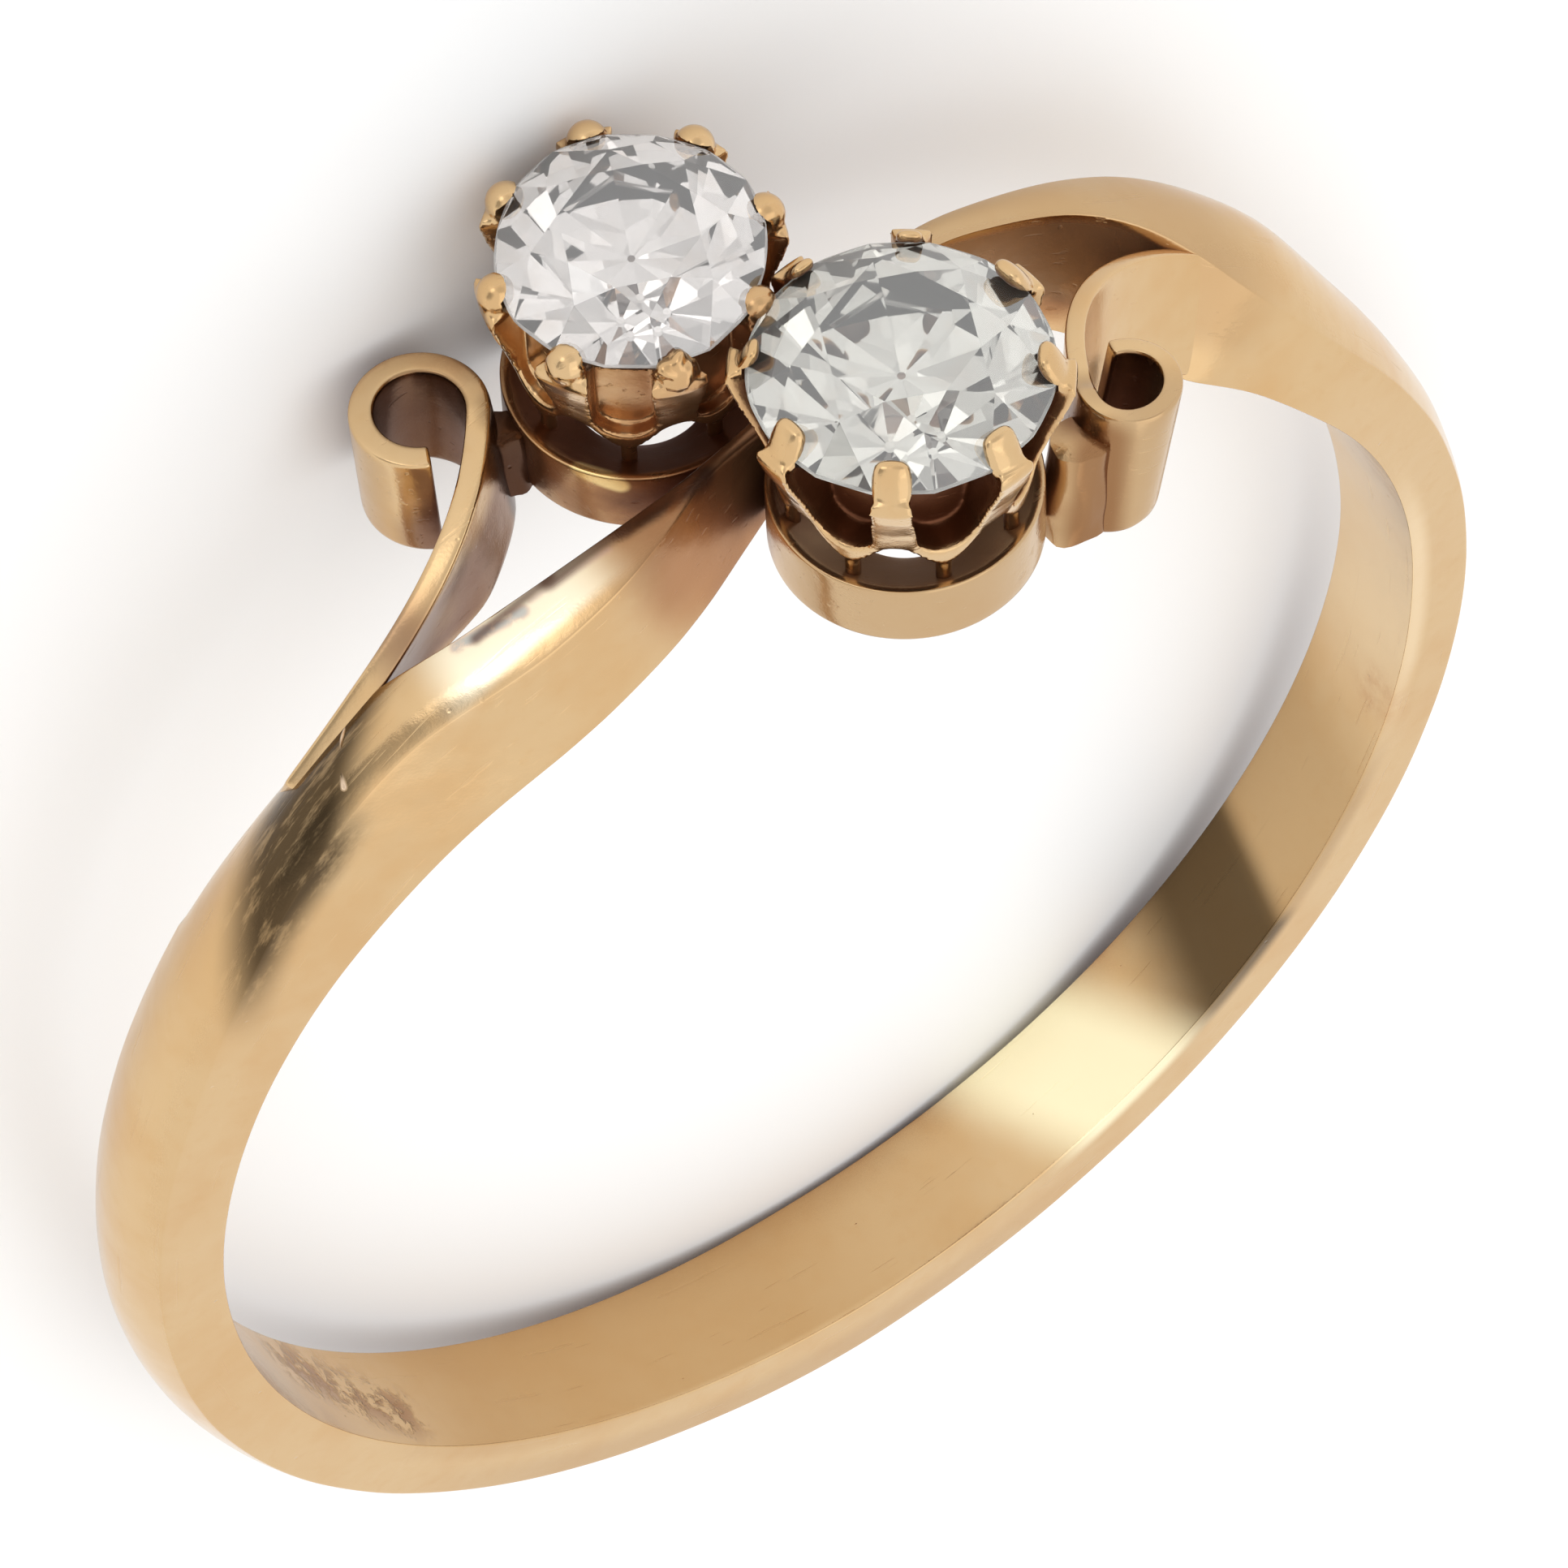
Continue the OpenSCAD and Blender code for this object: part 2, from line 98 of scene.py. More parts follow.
def wearEdges(piece, look, segments):
    # rounds the edges keener than the worn angle, then smooths the piece once
    addModifier(
        piece, "BEVEL", width=look["wornEdge"], segments=segments, limit_method="ANGLE",
        angle_limit=math.radians(look["wornAngle"]), use_clamp_overlap=True,
    )
    addModifier(piece, "SUBSURF", levels=1, render_levels=1)


def settle(piece, material, node, smoothAngle=None):
    # gives the piece its material, lays it on its side and ties it to the frame
    piece.data.materials.clear()
    piece.data.materials.append(material)
    piece.matrix_world = layMatrix @ piece.matrix_world
    applyPlace(piece)
    if smoothAngle is not None:
        bpy.ops.object.shade_smooth_by_angle(angle=math.radians(smoothAngle))
    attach(piece, "root")
    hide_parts(node)


def mix(a, b, t):
    return a + (b - a) * t


# shank, shoulders and bypass arms
band = {
    "holeRadius": 8.75,
    "sections": 180,
    "blend": 3,          # degrees that smooth the table's corners
    "wornEdge": 0.07,
    "wornAngle": 35,     # edges keener than this are worn round
    "wobble": 0.012,
    "wobbleScale": 0.9,
}
# angle from the head, then along the section: arm base z, arm edge z, arm edge r, crown r,
# scroll edge z, scroll edge r, scroll base z
leftBand = [
    (0, 0.30, 0.12, 9.75, 9.77, -0.12, 9.75, -0.30),
    (3, 0.50, 0.22, 9.98, 10.00, 0.05, 9.98, -0.05),
    (6, 0.72, 0.36, 10.15, 10.17, 0.26, 10.15, 0.15),
    (8, 0.86, 0.56, 10.22, 10.24, 0.36, 10.22, 0.26),
    (10.5, 1.05, 0.80, 10.25, 10.28, 0.38, 10.25, 0.30),
    (13, 1.17, 0.97, 10.25, 10.30, 0.38, 10.27, 0.32),
    (17, 1.30, 1.10, 10.25, 10.32, 0.38, 10.30, 0.34),
    (22, 1.38, 1.12, 10.22, 10.34, 0.28, 10.32, 0.28),
    (26, 1.37, 1.02, 10.24, 10.38, 0.20, 10.32, 0.20),
    (29, 1.32, 0.88, 10.30, 10.42, 0.06, 10.36, 0.06),
    (32, 1.26, 0.78, 10.30, 10.42, -0.15, 10.30, -0.35),
    (36, 1.19, 0.76, 10.27, 10.42, -0.32, 10.05, -0.95),
    (40, 1.14, 0.76, 10.25, 10.38, -0.45, 9.85, -1.03),
    (46, 1.07, 0.80, 10.15, 10.25, -0.58, 9.72, -1.02),
    (53, 0.98, 0.82, 9.95, 10.08, -0.72, 9.62, -0.97),
    (65, 0.88, 0.78, 9.70, 9.93, -0.76, 9.58, -0.88),
    (90, 0.76, 0.74, 9.60, 9.85, -0.74, 9.60, -0.76),
    (135, 0.84, 0.83, 9.60, 9.82, -0.81, 9.58, -0.84),
    (155, 0.87, 0.87, 9.60, 9.82, -0.84, 9.58, -0.87),
    (180, 0.92, 0.92, 9.66, 9.95, -0.92, 9.66, -0.92),
]
rightBand = [
    (0, 0.30, 0.12, 9.75, 9.77, -0.12, 9.75, -0.30),
    (3, 0.55, 0.30, 9.95, 9.97, 0.08, 9.95, 0.00),
    (6, 0.95, 0.65, 10.05, 10.07, 0.35, 10.05, 0.25),
    (10, 1.30, 1.00, 10.15, 10.20, 0.65, 10.15, 0.50),
    (15, 1.48, 1.20, 10.35, 10.40, 0.88, 10.35, 0.70),
    (20, 1.48, 1.21, 10.40, 10.46, 0.78, 10.42, 0.68),
    (25, 1.45, 1.27, 10.40, 10.47, 0.76, 10.42, 0.66),
    (29, 1.40, 1.27, 10.40, 10.47, 0.62, 10.42, 0.50),
    (32, 1.36, 1.25, 10.40, 10.47, 0.25, 10.45, 0.15),
    (35, 1.30, 1.17, 10.40, 10.46, -0.10, 10.30, -0.45),
    (38, 1.22, 1.02, 10.38, 10.44, -0.35, 10.10, -0.68),
    (42, 1.15, 0.95, 10.28, 10.40, -0.50, 9.90, -0.70),
    (46, 1.08, 0.88, 10.15, 10.25, -0.60, 9.75, -0.74),
    (50, 1.02, 0.85, 9.95, 10.08, -0.68, 9.66, -0.88),
    (54, 0.97, 0.83, 9.80, 9.94, -0.73, 9.60, -0.95),
    (65, 0.88, 0.78, 9.62, 9.82, -0.76, 9.58, -0.88),
    (90, 0.76, 0.74, 9.60, 9.82, -0.74, 9.60, -0.76),
    (135, 0.84, 0.83, 9.62, 9.88, -0.83, 9.62, -0.84),
]
bandRows = leftBand + [
    (360 - a, -sb, -sz, sr, crown, -az, ar, -ab)
    for a, ab, az, ar, crown, sz, sr, sb in reversed(rightBand)
]
bandTable = np.array(bandRows)


def bandAt(column, angle):
    # one column of the table at any angle
    near = [(angle - band["blend"]) % 360, angle % 360, (angle + band["blend"]) % 360]
    values = np.interp(near, bandTable[:, 0], bandTable[:, column])
    return (values[0] + 2 * values[1] + values[2]) / 4


def bandSection(angle):
    # points (radius, z) from the crown over the near edge, along the hole and back
    nearBase, nearZ, nearR, crown, farZ, farR, farBase = (bandAt(c, angle) for c in range(1, 8))
    hole = band["holeRadius"]
    rise = crown - (nearR + farR) / 2

    def dome(t):
        return (mix(nearR, farR, t) + rise * 4 * t * (1 - t), mix(nearZ, farZ, t))

    nearSide = [(mix(nearR, hole, t), mix(nearZ, nearBase, t)) for t in (1 / 3, 2 / 3)]
    farSide = [(mix(hole, farR, t), mix(farBase, farZ, t)) for t in (1 / 3, 2 / 3)]
    inside = [(hole, mix(nearBase, farBase, t)) for t in (0, 0.25, 0.5, 0.75, 1)]
    return (
        [dome(t) for t in (0.5, 0.375, 0.25, 0.125, 0)] + nearSide + inside + farSide
        + [dome(t) for t in (1, 0.875, 0.75, 0.625)]
    )


def makeBand():
    sectionPoints = len(bandSection(0))
    deselectAll()
    # the torus gives the rings of corners, which then go to their places
    bpy.ops.mesh.primitive_torus_add(
        major_radius=9.2, minor_radius=0.7, major_segments=band["sections"], minor_segments=sectionPoints,
    )
    piece = newPiece("shank_and_arms")
    for i in range(band["sections"]):
        angle = 360 * i / band["sections"]
        turn = math.radians(angle)
        for j, (radius, z) in enumerate(bandSection(angle)):
            vertex = piece.data.vertices[i * sectionPoints + j]
            if radius > band["holeRadius"]:
                spot = Vector((radius * math.sin(turn), radius * math.cos(turn), z))
                radius += band["wobble"] * noise.noise(spot * band["wobbleScale"])
            vertex.co = (-radius * math.sin(turn), radius * math.cos(turn), z)
    facesOut(piece)
    wearEdges(piece, band, 3)
    return piece


# scrolls: strips on edge that leave the shoulders and curl outward
leftScroll = {
    "name": "left_scroll", "thick": 0.3, "bend": (-4.9, -0.1), "centre": (-3.33, -2.22), "curl": 0.67,
    "start": 35, "turn": 283, "lean": (0.06, 0.0), "mirror": False, "drop": 0.35,
    "foot": [(-5.5, -0.85), (-4.6, -0.45), (-4.03, -0.16), (-3.57, 0.12), (-2.9, 0.3)],
}
rightScroll = {
    "name": "right_scroll", "thick": 0.24, "bend": (-4.6, 0.3), "centre": (-3.48, -2.13), "curl": 0.5,
    "start": 20, "turn": 280, "lean": (0.44, -0.12), "mirror": True, "drop": 0.42,
    "foot": [(-6.2, -0.6), (-5.2, -0.45), (-4.4, -0.3), (-3.8, -0.15), (-3.2, 0)],
}
scrollStrip = {
    "from": (-6.6, -0.05), "reach": 1.5, "stemSteps": 28, "curlSteps": 48, "rows": 8,
    "topRadius": 10.5, "low": 8.45, "high": 10.15, "inHole": 0.02,
    "footFade": 0.4,     # share of the curl over which the foot's shift dies away
    "wornEdge": 0.045, "wornAngle": 40,
}


def makeScroll(scroll):
    strip = scrollStrip
    stemSteps, curlSteps = strip["stemSteps"], strip["curlSteps"]
    start = math.radians(scroll["start"])
    centre = np.array(scroll["centre"])
    join = centre + scroll["curl"] * np.array((math.cos(start), math.sin(start)))
    before = join - strip["reach"] * np.array((math.sin(start), -math.cos(start)))
    points = [np.array(strip["from"]), np.array(scroll["bend"]), before, join]
    line = []
    for i in range(stemSteps):
        t = i / stemSteps
        weights = ((1 - t) ** 3, 3 * t * (1 - t) ** 2, 3 * t * t * (1 - t), t ** 3)
        line.append(sum(w * p for w, p in zip(weights, points)))
    for i in range(curlSteps + 1):
        turn = start - math.radians(scroll["turn"]) * i / curlSteps
        line.append(centre + scroll["curl"] * np.array((math.cos(turn), math.sin(turn))))
    footX, footShift = zip(*scroll["foot"])
    columns = len(line) - 1

    deselectAll()
    bpy.ops.mesh.primitive_grid_add(x_subdivisions=columns, y_subdivisions=strip["rows"], size=1)
    piece = newPiece(scroll["name"])
    for vertex in piece.data.vertices:
        i = round((vertex.co.x + 0.5) * columns)
        up = vertex.co.y + 0.5
        x, z = line[i]
        along = min(1, i / stemSteps)
        if i < stemSteps:
            onHole = math.sqrt((band["holeRadius"] + strip["inHole"]) ** 2 - x * x)
            foot = mix(onHole, strip["low"], along ** 4)
            top = math.sqrt(strip["topRadius"] ** 2 - x * x) - scroll["drop"] * (1 - along) ** 2
            top = min(strip["high"], top)
        else:
            foot, top = strip["low"], strip["high"]
        fade = max(0, 1 - max(0, i - stemSteps) / (strip["footFade"] * curlSteps))
        shiftX = scroll["lean"][0] * along ** 3
        shiftZ = scroll["lean"][1] * along ** 3 + np.interp(x, footX, footShift) * fade
        vertex.co = (x + shiftX * (1 - up), mix(foot, top, up), z + shiftZ * (1 - up))
    if scroll["mirror"]:  # the right scroll is the left one turned half round the head
        piece.rotation_euler = (0, math.pi, 0)
        applyPlace(piece)
    addModifier(piece, "SOLIDIFY", thickness=scroll["thick"], offset=0, use_even_offset=True)
    wearEdges(piece, strip, 2)
    facesOut(piece)
    return piece


# base rings: bored dishes under the stones
baseRing = {
    "radius": 1.6, "rim": 0.08, "bore": 0.77, "low": 8.85, "high": 9.77,
    "dish": 0.5,         # share of the height at which the dish meets the bore
    "hollowAbove": 0.3,  # how far above the rim the dish's skin ends
    "wornEdge": 0.03, "wornAngle": 20, "segments": 128,
}


def makeRevolved(name, outline, segments):
    # turns a closed outline of (radius, height) points round Z
    deselectAll()
    bpy.ops.mesh.primitive_torus_add(
        major_radius=2, minor_radius=0.5, major_segments=segments, minor_segments=len(outline),
    )
    piece = newPiece(name)
    for i in range(segments):
        turn = 2 * math.pi * i / segments
        for j, (radius, height) in enumerate(outline):
            vertex = piece.data.vertices[i * len(outline) + j]
            vertex.co = (radius * math.cos(turn), radius * math.sin(turn), height)
    facesOut(piece)
    return piece


def makeBaseRing(name, stone):
    outer, inner, low, high = (baseRing[key] for key in ("radius", "bore", "low", "high"))
    outline = [
        (inner, low), (outer, low), (outer, high), (outer - baseRing["rim"], high),
        (inner, mix(low, high, baseRing["dish"])),
    ]
    piece = makeRevolved(name, outline, baseRing["segments"])
    piece.location = (stone["place"][0], 0, stone["place"][2])
    piece.rotation_euler = (math.radians(-90), 0, 0)
    applyPlace(piece)
    wearEdges(piece, baseRing, 3)
    return piece


# stones
stoneCut = {
    "table": 0.26, "crown": 0.16, "pavilion": 0.44, "culet": 0.015, "girdle": 0.06,
    "star": 0.4, "lower": 0.85, "facets": 8, "gap": 0.03,
    "sides": 96, "weld": 0.0005, "flat": 0.3,
}
leftStone = {
    "name": "left_old_cut_stone", "node": "left_diamond", "width": 3.16, "cushion": 0.03,
    "place": (-0.82, 11.96, -1.50), "lean": (3, 4.8), "clawTurn": 16, "grain": -0.06,
    "clawWidth": 0.68, "clawEnd": "grain", "pocketIn": 1.3, "tint": (0.82, 0.78, 0.75, 1),
    "knobbly": {"claw": 6, "reach": 0.3, "depth": 0.11, "scale": 7},
}
rightStone = {
    "name": "right_old_cut_stone", "node": "right_diamond", "width": 3.5, "cushion": 0.0,
    "place": (0.76, 11.88, 1.56), "lean": (0, 0), "clawTurn": 38, "grain": 0.1,
    "clawWidth": 0.46, "clawEnd": "tab", "pocketIn": 1.1, "tint": (0.73, 0.72, 0.66, 1),
    "smallTabs": (2, 3, 4),
}


def stoneMatrix(stone):
    # the stone's own axis is Z, its table up; it leans sideways, then forwards
    return (
        Matrix.Translation(stone["place"])
        @ Matrix.Rotation(math.radians(stone["lean"][0]), 4, "Z")
        @ Matrix.Rotation(math.radians(stone["lean"][1]), 4, "X")
        @ Matrix.Rotation(math.radians(-90), 4, "X")
    )


def stoneCorners(stone):
    # radius and height of each row of the stone's corners
    width = stone["width"]
    r, up = width / 2, stoneCut["girdle"] / 2
    table, crown, pavilion, culet = (width * stoneCut[k] for k in ("table", "crown", "pavilion", "culet"))
    star, lower = mix(table, r, stoneCut["star"]), r * stoneCut["lower"]
    flat = math.cos(math.pi / stoneCut["facets"])
    return {
        "table": (table, up + crown),
        "star": (star, up + crown * (r - star * flat) / (r - table)),
        "top": (r, up),
        "under": (r, -up),
        "lower": (lower, -up - pavilion * (r - lower * flat) / (r - culet * flat)),
        "culet": (culet, -up - pavilion),
    }


def planeThrough(a, b, c):
    normal = (b - a).cross(c - a).normalized()
    if normal.dot(a) < 0:
        normal.negate()
    return a, normal


def makeStone(stone):
    corners = stoneCorners(stone)
    r = corners["top"][0]
    topH, culetH = corners["table"][1], corners["culet"][1]
    step = math.radians(360 / stoneCut["facets"])

    def rim(angle):
        return r * (1 - stone["cushion"] * (1 - math.cos(4 * angle)) / 2)

    def point(radius, angle, height):
        return Vector((radius * math.cos(angle), radius * math.sin(angle), height))

    def corner(row, angle):
        radius, height = corners[row]
        return point(rim(angle) if row in ("top", "under") else radius, angle, height)

    deselectAll()
    bpy.ops.mesh.primitive_cylinder_add(vertices=stoneCut["sides"], radius=r, depth=2 * (topH - culetH))
    piece = newPiece(stone["name"])
    for vertex in piece.data.vertices:
        angle = math.atan2(vertex.co.y, vertex.co.x)
        vertex.co.x, vertex.co.y = rim(angle) * math.cos(angle), rim(angle) * math.sin(angle)
    cuts = [(Vector((0, 0, topH)), Vector((0, 0, 1))), (Vector((0, 0, culetH)), Vector((0, 0, -1)))]
    for k in range(stoneCut["facets"]):
        a, half, after = k * step, (k + 0.5) * step, (k + 1) * step
        tip, deep = corner("star", half), corner("lower", half)
        cuts.append(planeThrough(corner("table", a), tip, corner("table", after)))
        cuts.append(planeThrough(corner("table", a), tip, corner("star", half - step)))
        cuts.append(planeThrough(corner("culet", half), deep, corner("lower", half - step)))
        for side in (a, after):
            cuts.append(planeThrough(tip, corner("top", half), corner("top", side)))
            cuts.append(planeThrough(deep, corner("under", half), corner("under", side)))
    pickOnly(piece)
    bpy.ops.object.mode_set(mode="EDIT")
    for place, normal in cuts:
        bpy.ops.mesh.select_all(action="SELECT")
        bpy.ops.mesh.bisect(plane_co=place, plane_no=normal, use_fill=True, clear_outer=True)
    bpy.ops.mesh.select_all(action="SELECT")
    bpy.ops.mesh.remove_doubles(threshold=stoneCut["weld"])
    bpy.ops.mesh.dissolve_limited(angle_limit=math.radians(stoneCut["flat"]))
    bpy.ops.mesh.normals_make_consistent(inside=False)
    bpy.ops.object.mode_set(mode="OBJECT")
    piece.matrix_world = stoneMatrix(stone)
    applyPlace(piece)
    return piece


# claw collets: flared cups on posts, with pockets between eight claws
collet = {
    "claws": 8, "wall": 0.2, "footRadius": 1.48, "footGap": 0.29, "floorBore": 0.45,
    "pocketRadius": 0.36, "pocketLow": 0.32, "pocketRise": 2.2,
    "archIn": 0.8, "archHeight": 0.5, "archShare": 0.97, "archBelow": 0.1,
    "postRadius": 0.1, "postIn": 0.14, "postSunk": 0.2, "postUp": 0.2,
    # share of the cup's height, share of its flare
    "flare": [(0, 0), (0.25, 0.12), (0.55, 0.48), (0.8, 0.84), (0.95, 1)],
    # how far the lip lies below the grains' middles outside and on top, and how far it steps in
    "lipLow": 0.12, "lipTop": 0.08, "lipIn": 0.03,
    "hollowTop": -0.05,  # height above which the inside carries no extra skin
    "grainRadius": 0.25, "grainSides": 24, "grainRings": 16, "postSides": 16,
    "sides": 96, "cutSides": 32, "cutLength": 2, "seatSides": 64,
    "tab": {"size": (0.66, 0.48, 0.27), "small": 0.72, "out": -0.045, "up": 0.02, "lean": 66, "worn": 0.1},
    "voxel": 0.028, "smooth": 10, "seatSmooth": 4,
}


def cutAway(piece, cutter):
    addModifier(piece, "BOOLEAN", operation="DIFFERENCE", object=cutter, solver="MANIFOLD")
    bpy.data.objects.remove(cutter)


def radialCutter(turn, inner, shape):
    # a bar that points out from the axis, its round section reshaped by shape(across, up)
    deselectAll()
    bpy.ops.mesh.primitive_cylinder_add(vertices=collet["cutSides"], radius=1, depth=1)
    cutter = bpy.context.object
    length = collet["cutLength"]
    for vertex in cutter.data.vertices:
        across, up = shape(vertex.co.x, vertex.co.y)
        vertex.co = (inner + length / 2 + length * vertex.co.z, across, up)
    cutter.rotation_euler = (0, 0, turn)
    return cutter


def makeSeat(stone):
    # the room left for a stone: a ball whose rings follow the stone's corners
    gap = stoneCut["gap"]
    corners = stoneCorners(stone).values()
    outline = [(radius + gap, height + (gap if height > 0 else -gap)) for radius, height in corners]
    rings = len(outline) + 1
    deselectAll()
    bpy.ops.mesh.primitive_uv_sphere_add(segments=collet["seatSides"], ring_count=rings, radius=1)
    seat = bpy.context.object
    for vertex in seat.data.vertices:
        ring = round(math.acos(max(-1, min(1, vertex.co.z))) / math.pi * rings)
        radius, height = outline[min(max(ring - 1, 0), len(outline) - 1)]
        if ring in (0, rings):
            radius = 0
        angle = math.atan2(vertex.co.y, vertex.co.x)
        vertex.co = (radius * math.cos(angle), radius * math.sin(angle), height)
    return seat


def makeClawEnd(stone, claw, spot, turn):
    # a round grain, or a worn bar bent over the girdle
    deselectAll()
    if stone["clawEnd"] == "grain":
        bpy.ops.mesh.primitive_uv_sphere_add(
            segments=collet["grainSides"], ring_count=collet["grainRings"], radius=collet["grainRadius"],
            location=spot,
        )
        return bpy.context.object
    tab = collet["tab"]
    small = tab["small"] if claw in stone["smallTabs"] else 1
    out = Vector((math.cos(turn), math.sin(turn), 0))
    bpy.ops.mesh.primitive_cube_add(size=1, location=spot + out * tab["out"] + Vector((0, 0, tab["up"])))
    piece = bpy.context.object
    piece.scale = [small * size for size in tab["size"]]
    piece.rotation_euler = (0, math.radians(tab["lean"]), turn)
    applyPlace(piece)
    addModifier(piece, "BEVEL", width=tab["worn"] * small, segments=1)
    addModifier(piece, "SUBSURF", levels=2, render_levels=2)
    return piece


def makePost(footH, turn):
    # a small post from inside the cup's foot down into the base ring
    radius = collet["footRadius"] - collet["postIn"]
    below = collet["footGap"] + collet["postSunk"]
    middle = footH + collet["postUp"] / 2 - below / 2
    deselectAll()
    bpy.ops.mesh.primitive_cylinder_add(
        vertices=collet["postSides"], radius=collet["postRadius"], depth=below + collet["postUp"],
        location=(radius * math.cos(turn), radius * math.sin(turn), middle),
    )
    return bpy.context.object


def makeCollet(stone, name):
    r = stone["width"] / 2
    outside = r + stoneCut["gap"] + collet["wall"]
    footH = baseRing["high"] + collet["footGap"] - stone["place"][1]
    cupH, topH = stone["grain"] - collet["lipLow"], stone["grain"] - collet["lipTop"]
    half = math.pi / collet["claws"]
    halfOpen = outside * math.sin(half) - stone["clawWidth"] / 2
    pocketH = footH + collet["pocketLow"] + collet["pocketRadius"]
    archHalf = collet["footRadius"] * math.sin(half) * collet["archShare"]

    def pocketShape(across, up):
        if up <= 0:
            return collet["pocketRadius"] * across, pocketH + collet["pocketRadius"] * up
        rise = collet["pocketRise"] * up
        width = mix(collet["pocketRadius"], halfOpen, min(1, rise))
        return (math.copysign(width, across) if abs(across) > 0.001 else 0), pocketH + rise

    def archShape(across, up):
        rise = collet["archHeight"] * (1 + math.cos(math.pi * across)) / 2
        return archHalf * across, footH + (rise if up > 0.001 else -collet["archBelow"])

    outline = [(collet["floorBore"], footH)]
    for up, share in collet["flare"]:
        outline.append((mix(collet["footRadius"], outside, share), mix(footH, cupH, up)))
    outline += [(outside - collet["lipIn"], topH), (collet["floorBore"], topH)]
    piece = makeRevolved(name, outline, collet["sides"])
    for k in range(collet["claws"]):
        cutAway(piece, radialCutter((2 * k + 1) * half, stone["pocketIn"], pocketShape))
        cutAway(piece, radialCutter(2 * k * half, collet["archIn"], archShape))

    parts = [piece]
    grains = []
    for k in range(collet["claws"]):
        turn, between = 2 * half * k, 2 * half * (k + 0.5)
        grains.append(Vector((math.cos(turn), math.sin(turn), 0)) * r + Vector((0, 0, stone["grain"])))
        parts += [makeClawEnd(stone, k, grains[k], turn), makePost(footH, between)]
    piece = joinPieces(parts)
    addModifier(piece, "REMESH", mode="VOXEL", voxel_size=collet["voxel"])
    addModifier(piece, "SMOOTH", factor=0.5, iterations=collet["smooth"])
    cutAway(piece, makeSeat(stone))
    addModifier(piece, "SMOOTH", factor=0.5, iterations=collet["seatSmooth"])
    if "knobbly" in stone:  # one grain is left rough
        knobs = stone["knobbly"]
        for vertex in piece.data.vertices:
            away = vertex.co - grains[knobs["claw"]]
            left = knobs["reach"] - away.length
            if left > 0:
                knob = noise.noise(vertex.co * knobs["scale"]) * knobs["depth"] * min(1, left * 10)
                vertex.co = vertex.co + away.normalized() * knob
    piece.rotation_euler = (0, 0, math.radians(-stone["clawTurn"]))
    applyPlace(piece)
    piece.matrix_world = stoneMatrix(stone)
    applyPlace(piece)
    return piece


# solder between each base ring and its scroll
solderJoints = {
    # foot and top of each, as x, height, z and radius
    "left_solder": ((-2.5, 8.76, -1.66, 0.3), (-2.55, 9.74, -1.74, 0.25)),
    "right_solder": ((2.48, 8.47, 2.36, 0.42), (2.7, 9.82, 2.26, 0.34)),
}
solderFlow = {
    "sides": 32, "rings": 24, "fullness": 2.6, "lump": 0.2, "lumpScale": 1.7, "lumpStretch": 0.8,
    # the right curl's axis at its foot and top, and how near to it the solder comes
    "curlFoot": (3.04, 8.45, 2.25), "curlTop": (3.48, 10.15, 2.13), "curlClear": 0.5,
}


def makeSolder(name):
    foot, top = solderJoints[name]
    flow, clear = solderFlow, solderFlow["curlClear"]
    curlFoot, curlTop = flow["curlFoot"], flow["curlTop"]
    deselectAll()
    bpy.ops.mesh.primitive_uv_sphere_add(segments=flow["sides"], ring_count=flow["rings"], radius=1)
    piece = newPiece(name)
    for vertex in piece.data.vertices:
        up = vertex.co.z / 2 + 0.5
        x, y, z, radius = (mix(a, b, up) for a, b in zip(foot, top))
        around = math.atan2(vertex.co.y, vertex.co.x)
        wide = radius * min(1, flow["fullness"] * math.sqrt(max(0, 1 - vertex.co.z ** 2)))
        spot = Vector((x + math.cos(around), y * flow["lumpStretch"], z + math.sin(around)))
        wide *= 1 + flow["lump"] * noise.noise(spot * flow["lumpScale"])
        x, z = x + wide * math.cos(around), z + wide * math.sin(around)
        axisX, axisZ = (
            mix(curlFoot[k], curlTop[k], (y - curlFoot[1]) / (curlTop[1] - curlFoot[1])) for k in (0, 2)
        )
        away = math.hypot(x - axisX, z - axisZ)
        if away < clear:
            x, z = axisX + (x - axisX) * clear / away, axisZ + (z - axisZ) * clear / away
        vertex.co = (x, y, z)
    facesOut(piece)
    return piece


print("band")
shank = makeBand()
print("scrolls")
scrolls = [makeScroll(leftScroll), makeScroll(rightScroll)]
print("base rings")
baseRings = [
    makeBaseRing("left_base_ring", leftStone),
    makeBaseRing("right_base_ring", rightStone),
]
print("solder")
solders = [makeSolder(name) for name in solderJoints]
print("collets")
collets = [makeCollet(leftStone, "left_claw_collet"), makeCollet(rightStone, "right_claw_collet")]
print("stones")
stones = [makeStone(leftStone), makeStone(rightStone)]


# finishes
def addNode(tree, kind, inputs=None, **settings):
    # a node with its settings, whose inputs are other sockets or plain values
    node = tree.nodes.new(kind)
    for key, value in settings.items():
        setattr(node, key, value)
    for key, value in (inputs or {}).items():
        if isinstance(value, bpy.types.NodeSocket):
            tree.links.new(value, node.inputs[key])
        else:
            node.inputs[key].default_value = value
    return node


def calc(tree, operation, a, b=0.0, c=0.0):
    return addNode(tree, "ShaderNodeMath", {0: a, 1: b, 2: c}, operation=operation).outputs[0]


def times(tree, a, b):
    return calc(tree, "MULTIPLY", a, b)


def plus(tree, a, b):
    return calc(tree, "ADD", a, b)


def minus(tree, a, b):
    return calc(tree, "SUBTRACT", a, b)


def acrossAxis(tree, x, y):
    # distance from the axis along Z
    return calc(tree, "SQRT", calc(tree, "MULTIPLY_ADD", x, x, times(tree, y, y)))


